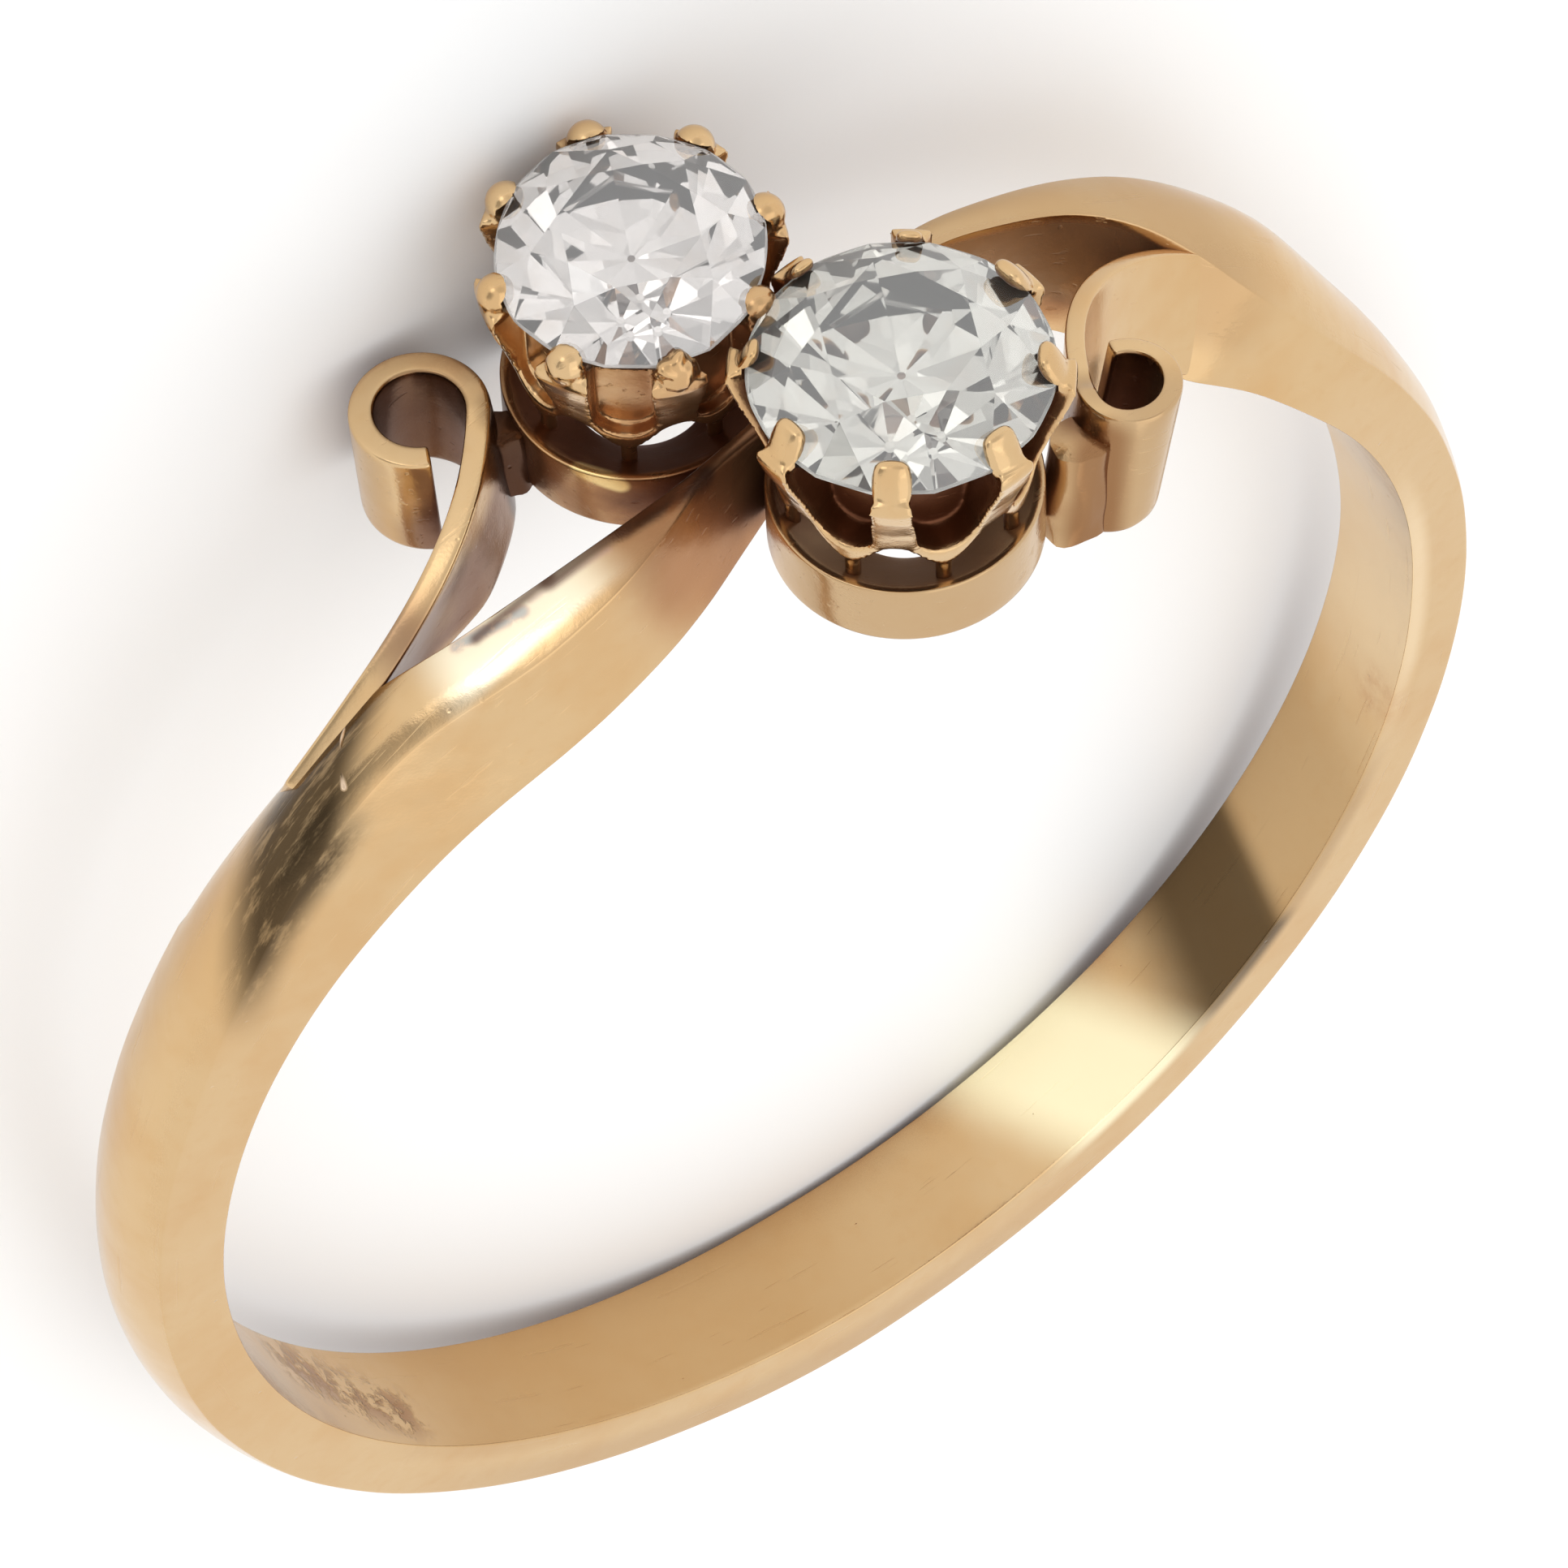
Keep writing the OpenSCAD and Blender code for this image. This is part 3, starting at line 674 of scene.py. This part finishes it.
def vectorCalc(tree, operation, a, b=(0, 0, 0)):
    node = addNode(tree, "ShaderNodeVectorMath", {0: a, 1: b}, operation=operation)
    return node.outputs["Value" if operation in ("DOT_PRODUCT", "LENGTH", "DISTANCE") else "Vector"]


def fade(tree, value, low, high):
    # 0 at low and 1 at high, whichever of them is the larger
    ends = (low, high, 0.0, 1.0) if low < high else (high, low, 1.0, 0.0)
    inputs = {0: value, 1: ends[0], 2: ends[1], 3: ends[2], 4: ends[3]}
    return addNode(tree, "ShaderNodeMapRange", inputs, interpolation_type="SMOOTHSTEP").outputs[0]


def blendColor(tree, share, a, b):
    return addNode(tree, "ShaderNodeMix", {0: share, 6: a, 7: b}, data_type="RGBA").outputs[2]


def noiseAt(tree, place, scale, detail=3.0, rough=0.55):
    inputs = {"Vector": place, "Scale": scale, "Detail": detail, "Roughness": rough}
    return addNode(tree, "ShaderNodeTexNoise", inputs, normalize=True).outputs[0]


def nearPoint(tree, place, centre, inner, outer):
    return fade(tree, vectorCalc(tree, "DISTANCE", place, centre), outer, inner)


def nearLine(tree, place, start, end, inner, outer):
    # 1 within inner of the line from start to end, 0 beyond outer
    start, end = Vector(start), Vector(end)
    along = end - start
    offset = vectorCalc(tree, "SUBTRACT", place, start)
    share = times(tree, vectorCalc(tree, "DOT_PRODUCT", offset, along), 1 / along.length_squared)
    share = addNode(tree, "ShaderNodeClamp", {0: share, 1: 0.0, 2: 1.0}).outputs[0]
    foot = addNode(tree, "ShaderNodeVectorMath", {0: along, "Scale": share}, operation="SCALE").outputs[0]
    return fade(tree, vectorCalc(tree, "DISTANCE", offset, foot), outer, inner)


def placeIn(tree, matrix):
    # Object coordinates turned back into the frame that the piece was modelled in, in millimetres
    location, rotation, scale = matrix.inverted().decompose()
    coordinates = addNode(tree, "ShaderNodeTexCoord").outputs["Object"]
    return addNode(tree, "ShaderNodeMapping", {
        "Vector": coordinates, "Location": location, "Rotation": rotation.to_euler("XYZ"), "Scale": scale,
    }).outputs[0]


def newMaterial(name):
    material = bpy.data.materials.new(name)
    material.use_nodes = True
    material.node_tree.nodes.clear()
    return material, material.node_tree


goldLook = {
    "tone": (0.65, 0.45, 0.24, 1), "rust": (0.42, 0.2, 0.085, 1), "dark": (0.135, 0.045, 0.017, 1),
    "warming": (0.93, 0.82, 0.68, 1), "bump": 0.35, "bumpDepth": 0.00004, "openSamples": 4,
    "broadWarming": 0.55, "fineWarming": 0.22,
    # what each adds to the roughness
    "broadRough": 0.1, "lineRough": 0.12, "skinRough": 0.16,
    # heights and depths in the bump
    "wave": 1.2, "grain": 0.12, "line": 0.12, "knock": 0.35, "knockScale": 1.7,
    "skinDull": 0.25,    # share of the metal look that the skin takes away
    "flowRadius": 9.3,   # where the polish lines keep their width
    # scale, detail and roughness of each noise
    "noises": {
        "broad": (0.55, 3, 0.6), "fine": (5.0, 4, 0.6), "lines": (1.0, 2, 0.5), "mottle": (1.9, 2, 0.5),
        "wave": (1.3, 2, 0.5), "grain": (22.0, 3, 0.6),
    },
    # turn, stretch and the noise level above which each set of fine lines shows
    "scratchSets": (
        (0.0, (0.5, 9, 9), 0.66), (0.5, (0.6, 15, 15), 0.72), (-0.9, (0.7, 13, 13), 0.73),
    ),
}


def buildWornGold():
    # warm gold with satin polish lines, small knocks and the brown skin that grows in recesses
    look, noises = goldLook, goldLook["noises"]
    group = bpy.data.node_groups.new("wornGold", "ShaderNodeTree")
    sockets = {
        "INPUT": (
            ("Place", "Vector"), ("Open", "Float"), ("Tone", "Color"), ("Rust", "Color"), ("Dark", "Color"),
            ("Tarnish", "Float"), ("Skin", "Float"), ("Polish", "Float"), ("Scratch", "Float"),
        ),
        "OUTPUT": (("Color", "Color"), ("Roughness", "Float"), ("Metal", "Float"), ("Height", "Float")),
    }
    for side, named in sockets.items():
        for name, kind in named:
            group.interface.new_socket(name, in_out=side, socket_type="NodeSocket" + kind)
    given = group.nodes.new("NodeGroupInput").outputs
    place = given["Place"]
    x, y, z = addNode(group, "ShaderNodeSeparateXYZ", {0: place}).outputs
    around = times(group, calc(group, "ARCTAN2", x, y), look["flowRadius"])
    radius = acrossAxis(group, x, y)
    flow = addNode(group, "ShaderNodeCombineXYZ", {0: around, 1: radius, 2: z}).outputs[0]

    broad = noiseAt(group, place, *noises["broad"])
    fine = noiseAt(group, place, *noises["fine"])
    lines = []
    for turn, stretch, edge in look["scratchSets"]:
        lined = addNode(group, "ShaderNodeMapping", {
            "Vector": flow, "Rotation": (turn * 0.3, turn * 0.4, turn), "Scale": stretch,
        }).outputs[0]
        lines.append(fade(group, noiseAt(group, lined, *noises["lines"]), edge, edge + 0.05))
    scratches = calc(group, "MAXIMUM", calc(group, "MAXIMUM", lines[0], lines[1]), lines[2])
    knocks = addNode(group, "ShaderNodeTexVoronoi", {"Vector": place, "Scale": look["knockScale"]})
    knocks = fade(group, knocks.outputs["Distance"], 0.06, 0.02)

    closed = minus(group, 1.0, given["Open"])
    mottle = noiseAt(group, place, *noises["mottle"])
    closed = plus(group, closed, times(group, minus(group, mottle, 0.5), 0.3))
    skin = times(group, fade(group, closed, 0.3, 0.85), given["Tarnish"])
    skin = plus(group, skin, times(group, given["Skin"], fade(group, mottle, -0.3, 0.6)))
    skin = addNode(group, "ShaderNodeClamp", {0: skin, 1: 0.0, 2: 1.0}).outputs[0]
    deep = fade(group, skin, 0.45, 1.0)
    warm = addNode(group, "ShaderNodeMix", {
        0: 1.0, 6: given["Tone"], 7: look["warming"],
    }, data_type="RGBA", blend_type="MULTIPLY").outputs[2]
    broadShare = times(group, fade(group, broad, 0.38, 0.68), look["broadWarming"])
    fineShare = times(group, fade(group, fine, 0.5, 0.75), look["fineWarming"])
    color = blendColor(group, fineShare, blendColor(group, broadShare, given["Tone"], warm), warm)
    color = blendColor(group, fade(group, skin, 0.0, 0.6), color, given["Rust"])
    color = blendColor(group, deep, color, given["Dark"])

    marks = times(group, scratches, given["Scratch"])
    rough = plus(group, given["Polish"], times(group, broad, look["broadRough"]))
    rough = plus(group, rough, times(group, marks, look["lineRough"]))
    rough = plus(group, rough, times(group, skin, look["skinRough"]))
    wave = times(group, noiseAt(group, place, *noises["wave"]), look["wave"])
    grain = times(group, noiseAt(group, place, *noises["grain"]), look["grain"])
    height = minus(group, plus(group, wave, grain), times(group, marks, look["line"]))
    height = minus(group, height, times(group, knocks, look["knock"]))
    metal = minus(group, 1.0, times(group, skin, look["skinDull"]))
    output = group.nodes.new("NodeGroupOutput").inputs
    for name, value in (("Color", color), ("Roughness", rough), ("Metal", metal), ("Height", height)):
        group.links.new(value, output[name])
    return group


# painted reflections, highlights and shade on the band, with a few broad brown patches: the angles round it
# from the head at which each one begins, is full, is full still and is gone, its slant in degrees per mm
# across the band, the height across the band up to which it is full and where it is gone, colour, strength
# and face
paintedBandReflections = [
    (-51, -42, -34, -28, -10, 0.8, 0.9, (0.055, 0.035, 0.018, 1), 0.93, "scratched"),
    (-30, -26, -19, -13, 0, 0.8, 1.0, (1.0, 0.9, 0.68, 1), 0.9, "outside"),
    (-17, -12, 0, 4, 0, 1.0, 1.2, (0.3, 0.15, 0.07, 1), 0.7, "outside"),
    (4, 10, 36, 46, 0, 2, 3, (0.43, 0.28, 0.15, 1), 0.55, "outside"),
    (150, 175, 205, 230, 0, 2, 3, (0.45, 0.29, 0.16, 1), 0.4, "outside"),
    (126, 129, 137, 146, 2, 0.82, 0.9, (0.075, 0.045, 0.02, 1), 0.92, "inside"),
    (142, 149, 156, 163, -3, 0.9, 1.1, (1.0, 0.9, 0.6, 1), 0.95, "inside"),
    (160, 190, 215, 235, 0, 0.8, 0.9, (0.47, 0.27, 0.11, 1), 0.6, "inside"),
    (106, 116, 126, 130, 2, 0.8, 0.9, (0.38, 0.23, 0.1, 1), 0.5, "inside"),
    (68, 84, 97, 112, 0, 1, 1.2, (1.0, 0.82, 0.56, 1), 0.4, "inside"),
]
# radius at which a patch begins and at which it is full; scratched is an outside one that fine bright
# scratches cross
patchFaces = {"inside": (9.1, 8.85), "outside": (9.0, 9.4), "scratched": (9.0, 9.4)}
fineScratches = {
    "turn": (0.2, 0.5, 0), "stretch": (0.25, 3, 9), "noise": (1.0, 4, 0.7), "edges": (0.68, 0.5),
    "share": 0.35,
}
# painted shade on the scrolls and round the head, in the ring's own frame: from, to, full within,
# none beyond, colour, strength
paintedHeadShade = [
    ((-1.7, 9.3, 0.95), (-0.6, 8.95, 0.75), 0.2, 1.0, (0.46, 0.23, 0.105, 1), 0.75),
    ((-0.8, 9.3, 1.15), (0.1, 9.1, 0.4), 0.3, 0.65, (0.13, 0.05, 0.025, 1), 0.85),
    ((-4.3, 9.43, 0.37), (-3.3, 9.78, 0.37), 0.01, 0.14, (0.12, 0.06, 0.045, 1), 0.8),
    ((-3.3, 9.78, 0.38), (-2.3, 10.01, 0.4), 0.06, 0.22, (0.09, 0.045, 0.03, 1), 0.85),
    ((-2.3, 10.01, 0.4), (-1.2, 10.12, 0.42), 0.08, 0.26, (0.09, 0.045, 0.03, 1), 0.9),
]
leftRingPaintedHighlight = [
    # a painted highlight on the left base ring's rim
    ((-2.17, 9.76, -0.68), (-1.9, 9.64, -0.3), 0.07, 0.16, (1.0, 0.75, 0.34, 1), 0.9),
]
rightRingShades = [
    ((-0.6, 9.3, 2.9), (2.3, 9.3, 2.9), 1.2, 2.0, (0.45, 0.3, 0.165, 1), 0.55),
]
paintedScrollShade = [
    # painted shade in the curls' insides, then on the stems' and curls' lower sides
    ((-3.33, 8.3, -2.22), (-3.33, 10.0, -2.22), 0.53, 0.6, (0.11, 0.045, 0.022, 1), 0.88),
    ((3.04, 8.3, 2.25), (3.48, 10.0, 2.13), 0.38, 0.45, (0.13, 0.05, 0.026, 1), 0.9),
    ((-2.6, 8.9, -1.7), (-4.6, 8.6, -0.5), 0.5, 0.95, (0.2, 0.1, 0.065, 1), 0.88),
    ((2.5, 8.6, 2.3), (2.95, 9.7, 2.0), 0.2, 0.6, (0.15, 0.065, 0.032, 1), 0.85),
    ((3.1, 8.4, 2.9), (3.6, 10.1, 2.9), 0.4, 1.0, (0.45, 0.3, 0.165, 1), 0.6),
    ((2.5, 8.4, 2.75), (2.75, 9.9, 2.65), 0.2, 0.5, (0.27, 0.125, 0.052, 1), 0.85),
    ((-2.52, 8.7, -1.7), (-2.52, 9.75, -1.7), 0.35, 0.55, (0.07, 0.03, 0.016, 1), 0.95),
]
# marks that the photo shows on the band, in the ring's own frame: from, to, full within, none beyond
bandMarks = {
    "heatTint": ((-4.5, 9.33, 0.28), (-3.75, 9.63, 0.5), 0.0, 0.16),
    "heatEdge": ((-3.6, 9.7, 0.45), (-2.6, 9.95, 0.55), 0.0, 0.12),
    "heatRose": (0.62, 0.36, 0.3, 1), "heatBlue": (0.36, 0.45, 0.47, 1),
    "deepScratch": ((-5.81, 8.50, -0.18), (-6.26, 8.28, 0.52), 0.015, 0.05),
    "scratchColor": (0.95, 0.72, 0.52, 1), "scratchDepth": 4.0,
    "wornPunch": ((-7.5, -4.5, -0.4), (-6.4, -5.95, 0.2), 0.05, 0.75),
    "punchColor": (0.25, 0.1, 0.042, 1), "punchDepth": 1.2,
    "smudge": ((8.45, -2.3, 0.5), 0.1, 0.6), "smudgeColor": (0.45, 0.2, 0.09, 1),
}
# where the brown skin is thicker: round the head, and on the right arm's side but not on its crown
skinPlaces = {
    "head": ((-0.3, 9.9, 0.2), 0.8, 3.4),
    "arm": ((1.6, 9.9, -0.75), (4.3, 9.0, -0.65), 0.7, 1.4), "armSkin": 0.85, "crown": (10.4, 10.25),
}


def hollowMask(tree, matrix, low, high, top):
    # 1 inside a cup whose wall runs from low to high, given as (height, radius), and 0 above top
    x, y, z = addNode(tree, "ShaderNodeSeparateXYZ", {0: placeIn(tree, matrix)}).outputs
    radius = acrossAxis(tree, x, y)
    slope = (high[1] - low[1]) / (high[0] - low[0])
    wall = calc(tree, "MULTIPLY_ADD", z, slope, low[1] - low[0] * slope)
    inside = fade(tree, minus(tree, wall, radius), 0.07, 0.2)
    return times(tree, inside, fade(tree, z, top, top - 0.2))


def addPaintedBandReflections(tree, color, x, y, z):
    # the painted reflections, highlights and shade round the band
    radius = acrossAxis(tree, x, y)
    angle = times(tree, calc(tree, "ARCTAN2", x, y), 180 / math.pi)
    angleOnward = calc(tree, "WRAP", angle, 360.0, 0.0)
    look = fineScratches
    fine = addNode(tree, "ShaderNodeMapping", {
        "Vector": addNode(tree, "ShaderNodeCombineXYZ", {0: angle, 1: radius, 2: z}).outputs[0],
        "Rotation": look["turn"], "Scale": look["stretch"],
    }).outputs[0]
    fine = fade(tree, noiseAt(tree, fine, *look["noise"]), *look["edges"])
    for begin, full, ending, gone, slant, low, high, shade, strength, face in paintedBandReflections:
        along = calc(tree, "MULTIPLY_ADD", z, -slant, angleOnward if gone > 180 else angle)
        patch = times(tree, fade(tree, along, begin, full), fade(tree, along, gone, ending))
        patch = times(tree, patch, fade(tree, z, high, low))
        patch = times(tree, times(tree, patch, fade(tree, radius, *patchFaces[face])), strength)
        if face == "scratched":
            patch = times(tree, patch, calc(tree, "MULTIPLY_ADD", fine, look["share"], 1 - look["share"]))
        color = blendColor(tree, patch, color, shade)
    return color


def addBandMarks(tree, place, color, rough, height):
    # heat tint, the deep scratch, the worn punch's blotches and a smudge
    marks = bandMarks
    ragged = noiseAt(tree, place, 4.0, 4, 0.65)
    edge = times(tree, nearLine(tree, place, *marks["heatEdge"]), 0.45)
    tint = calc(tree, "MAXIMUM", nearLine(tree, place, *marks["heatTint"]), edge)
    tint = times(tree, tint, fade(tree, ragged, 0.2, 0.5))
    color = blendColor(tree, times(tree, fade(tree, tint, 0.05, 0.6), 0.45), color, marks["heatRose"])
    color = blendColor(tree, times(tree, fade(tree, tint, 0.3, 1.0), 0.6), color, marks["heatBlue"])
    groove = nearLine(tree, place, *marks["deepScratch"])
    color = blendColor(tree, times(tree, groove, 0.8), color, marks["scratchColor"])
    height = minus(tree, height, times(tree, groove, marks["scratchDepth"]))
    rough = plus(tree, rough, times(tree, groove, 0.2))
    punch = nearLine(tree, place, *marks["wornPunch"])
    blotches = times(tree, punch, fade(tree, noiseAt(tree, place, 2.6, 5, 0.7), 0.45, 0.6))
    color = blendColor(tree, times(tree, blotches, 0.7), color, marks["punchColor"])
    height = minus(tree, height, times(tree, blotches, marks["punchDepth"]))
    smudge = times(tree, nearPoint(tree, place, *marks["smudge"]), fade(tree, ragged, 0.35, 0.7))
    color = blendColor(tree, times(tree, smudge, 0.35), color, marks["smudgeColor"])
    return color, rough, height


def goldFinish(
        name, tarnish=1.0, polish=0.2, scratch=1.0, reach=0.0016, marks=False, headSkin=0.0, hollow=None,
        inside=0.0, paintedShadeAndTone=()):
    material, tree = newMaterial(name)
    place = placeIn(tree, layMatrix)
    openness = addNode(
        tree, "ShaderNodeAmbientOcclusion", {"Distance": reach}, samples=goldLook["openSamples"],
    ).outputs["AO"]
    # the skin is thicker round the settings and in their hollows
    skin = times(tree, nearPoint(tree, place, *skinPlaces["head"]), headSkin)
    if hollow:
        skin = calc(tree, "MULTIPLY_ADD", hollowMask(tree, *hollow), inside, skin)
    if marks:
        x, y, z = addNode(tree, "ShaderNodeSeparateXYZ", {0: place}).outputs
        offCrown = fade(tree, acrossAxis(tree, x, y), *skinPlaces["crown"])
        arm = times(tree, nearLine(tree, place, *skinPlaces["arm"]), offCrown)
        skin = calc(tree, "MULTIPLY_ADD", arm, skinPlaces["armSkin"], skin)
    color, rough, metal, height = addNode(tree, "ShaderNodeGroup", {
        "Place": place, "Open": openness, "Skin": skin, "Tone": goldLook["tone"], "Rust": goldLook["rust"],
        "Dark": goldLook["dark"], "Tarnish": tarnish, "Polish": polish, "Scratch": scratch,
    }, node_tree=wornGold).outputs
    if marks:
        color = addPaintedBandReflections(tree, color, x, y, z)
        color, rough, height = addBandMarks(tree, place, color, rough, height)
    # painted shade and highlights from the lists above, and tone patches, laid over the gold's colour
    for start, end, inner, outer, shade, strength in paintedShadeAndTone:
        patch = times(tree, nearLine(tree, place, start, end, inner, outer), strength)
        color = blendColor(tree, patch, color, shade)
    bump = addNode(tree, "ShaderNodeBump", {
        "Strength": goldLook["bump"], "Distance": goldLook["bumpDepth"], "Height": height,
    })
    shader = addNode(tree, "ShaderNodeBsdfPrincipled", {
        "Base Color": color, "Metallic": metal, "Roughness": rough, "Normal": bump.outputs[0],
    })
    addNode(tree, "ShaderNodeOutputMaterial", {0: shader.outputs[0]})
    return material


diamondLook = {
    "polished": 0.02, "ground": 0.35,    # roughness of the facets, and what the girdle adds to it
    "grease": (0.62, 0.52, 0.43, 1), "greaseTint": 0.5, "greaseRough": 0.03,
    "clear": 0.95, "bend": 2.42,
}


def diamondFinish(name, stone):
    # clear stone with a ground girdle and faint patches of grease
    material, tree = newMaterial(name)
    place = placeIn(tree, layMatrix @ stoneMatrix(stone))
    look, edge = diamondLook, stoneCut["girdle"] / 2
    z = addNode(tree, "ShaderNodeSeparateXYZ", {0: place}).outputs[2]
    girdle = fade(tree, calc(tree, "ABSOLUTE", z), edge + 0.012, edge - 0.004)
    grease = fade(tree, noiseAt(tree, place, 1.6, 4, 0.6), 0.5, 0.75)
    rough = calc(tree, "MULTIPLY_ADD", girdle, look["ground"], look["polished"])
    rough = plus(tree, rough, times(tree, grease, look["greaseRough"]))
    color = blendColor(tree, times(tree, grease, look["greaseTint"]), stone["tint"], look["grease"])
    shader = addNode(tree, "ShaderNodeBsdfPrincipled", {
        "Base Color": color, "Roughness": rough, "Transmission Weight": look["clear"], "IOR": look["bend"],
    })
    addNode(tree, "ShaderNodeOutputMaterial", {0: shader.outputs[0]})
    return material


def cupHollow(stone):
    # the hollow of a collet, for hollowMask
    footH = baseRing["high"] + collet["footGap"] - stone["place"][1]
    outside = stone["width"] / 2 + stoneCut["gap"] + collet["wall"]
    lip = (stone["grain"] - collet["lipLow"], outside)
    return layMatrix @ stoneMatrix(stone), (footH, collet["footRadius"]), lip, collet["hollowTop"]


def dishHollow(stone):
    # the hollow of a base ring
    low, high, radius = (baseRing[key] for key in ("low", "high", "radius"))
    upright = Matrix.Rotation(math.radians(-90), 4, "X")
    matrix = layMatrix @ Matrix.Translation((stone["place"][0], 0, stone["place"][2])) @ upright
    return matrix, (low, radius), (high, radius), high + baseRing["hollowAbove"]


print("finishes")
wornGold = buildWornGold()
bandGold = goldFinish("bandGold", polish=0.11, marks=True, headSkin=0.75, paintedShadeAndTone=paintedHeadShade)
scrollGold = goldFinish("scrollGold", tarnish=0.9, polish=0.14, headSkin=0.3, paintedShadeAndTone=paintedScrollShade)
dressing = [(shank, bandGold)] + [(piece, scrollGold) for piece in scrolls + solders]
settingLooks = {
    # skin on the base ring and collet and inside the collet, the collet's tarnish, the ring's patches: a
    # painted highlight on the left, a darker tone on the right
    "left": {"headSkin": 0.45, "inside": 0.0, "tarnish": 0.3, "paintedShadeAndTone": leftRingPaintedHighlight},
    "right": {"headSkin": 0.0, "inside": 0.9, "tarnish": 1.0, "paintedShadeAndTone": rightRingShades},
}
for (side, look), stone, ring, cup in zip(settingLooks.items(), (leftStone, rightStone), baseRings, collets):
    ringGold = goldFinish(
        side + "RingGold", polish=0.14, reach=0.002, headSkin=look["headSkin"], hollow=dishHollow(stone),
        inside=0.75, paintedShadeAndTone=look["paintedShadeAndTone"],
    )
    cupGold = goldFinish(
        side + "CupGold", tarnish=look["tarnish"], polish=0.1, headSkin=look["headSkin"],
        hollow=cupHollow(stone), inside=look["inside"],
    )
    dressing += [(ring, ringGold), (cup, cupGold)]
for piece, material in dressing:
    settle(piece, material, "gold_mount", 50)
for piece, stone in zip(stones, (leftStone, rightStone)):
    settle(piece, diamondFinish(stone["node"] + "_clear", stone), stone["node"])
    for face in piece.data.polygons:
        face.use_smooth = False
for piece in [shank] + scrolls + solders + baseRings + collets + stones:
    print(piece.name, sum(len(face.vertices) - 2 for face in piece.data.polygons), "triangles")


studio = {
    "floorSize": 2.4, "floorRough": 0.4, "cloud": (6.0, 2, 0.5),
    "floorColors": ((0.97, 0.97, 0.965, 1), (0.985, 0.985, 0.985, 1)),
    "ambient": 1.12,
    # azimuth, elevation, inner and outer angle in degrees, strength added to the ambient
    "lobes": [
        (-60, 6, 6, 18, 1.0),
        (-31, 5, 8, 34, -0.6),
        (-100, 30, 5, 30, -0.25),
    ],
    # azimuth, elevation, distance, width, height, power
    "softboxes": [
        (100, 75, 0.6, 0.5, 0.5, 0.2),
        (-110, 70, 0.6, 0.5, 0.5, 0.25),
    ],
}
print("floor, light and camera")
deselectAll()
bpy.ops.mesh.primitive_plane_add(size=studio["floorSize"])
floor = newPiece("studio_floor")
floorMaterial, tree = newMaterial("paleFloor")
coordinates = addNode(tree, "ShaderNodeTexCoord").outputs["Object"]
floorColor = blendColor(tree, noiseAt(tree, coordinates, *studio["cloud"]), *studio["floorColors"])
shader = addNode(tree, "ShaderNodeBsdfPrincipled", {
    "Base Color": floorColor, "Roughness": studio["floorRough"],
})
addNode(tree, "ShaderNodeOutputMaterial", {0: shader.outputs[0]})
floor.data.materials.append(floorMaterial)


def towards(azimuth, elevation):
    # the direction that lies at these two angles, in degrees
    azimuth, elevation = math.radians(azimuth), math.radians(elevation)
    level = math.cos(elevation)
    return Vector((math.cos(azimuth) * level, math.sin(azimuth) * level, math.sin(elevation)))


world = bpy.data.worlds.new("softStudio")
bpy.context.scene.world = world
world.use_nodes = True
tree = world.node_tree
tree.nodes.clear()
direction = addNode(tree, "ShaderNodeTexCoord").outputs["Generated"]
strength = studio["ambient"]
for azimuth, elevation, inner, outer, power in studio["lobes"]:
    facing = vectorCalc(tree, "DOT_PRODUCT", direction, towards(azimuth, elevation))
    lobe = fade(tree, facing, math.cos(math.radians(outer)), math.cos(math.radians(inner)))
    strength = calc(tree, "MULTIPLY_ADD", lobe, power, strength)
background = addNode(tree, "ShaderNodeBackground", {"Color": (1, 1, 1, 1), "Strength": strength})
addNode(tree, "ShaderNodeOutputWorld", {0: background.outputs[0]})

for k, (azimuth, elevation, distance, width, height, power) in enumerate(studio["softboxes"]):
    lampData = bpy.data.lights.new("softbox%d" % k, "AREA")
    lampData.shape = "RECTANGLE"
    lampData.size, lampData.size_y, lampData.energy = width, height, power
    lamp = bpy.data.objects.new("softbox%d" % k, lampData)
    bpy.context.scene.collection.objects.link(lamp)
    aim = towards(azimuth, elevation)
    lamp.location = aim * distance
    lamp.rotation_euler = aim.to_track_quat("Z", "Y").to_euler()

# place in millimetres, angles in degrees
view = {
    "azimuth": 19.976, "elevation": 35.081, "roll": 139.171, "place": (33.06, -91.674, 70.12),
    "lens": 225.709, "sensor": 36,
}
cameraData = bpy.data.cameras.new("photoCamera")
cameraData.lens = view["lens"]
cameraData.sensor_width = view["sensor"]
cameraData.clip_start = 0.005
cameraData.clip_end = 20
camera = bpy.data.objects.new("photoCamera", cameraData)
bpy.context.scene.collection.objects.link(camera)
camera.matrix_world = (
    Matrix.Translation(Vector(view["place"]) * 0.001)
    @ Matrix.Rotation(math.radians(view["azimuth"]), 4, "Z")
    @ Matrix.Rotation(math.radians(90 - view["elevation"]), 4, "X")
    @ Matrix.Rotation(math.radians(view["roll"]), 4, "Z")
)
bpy.context.scene.camera = camera
bpy.context.scene.view_settings.view_transform = "Standard"
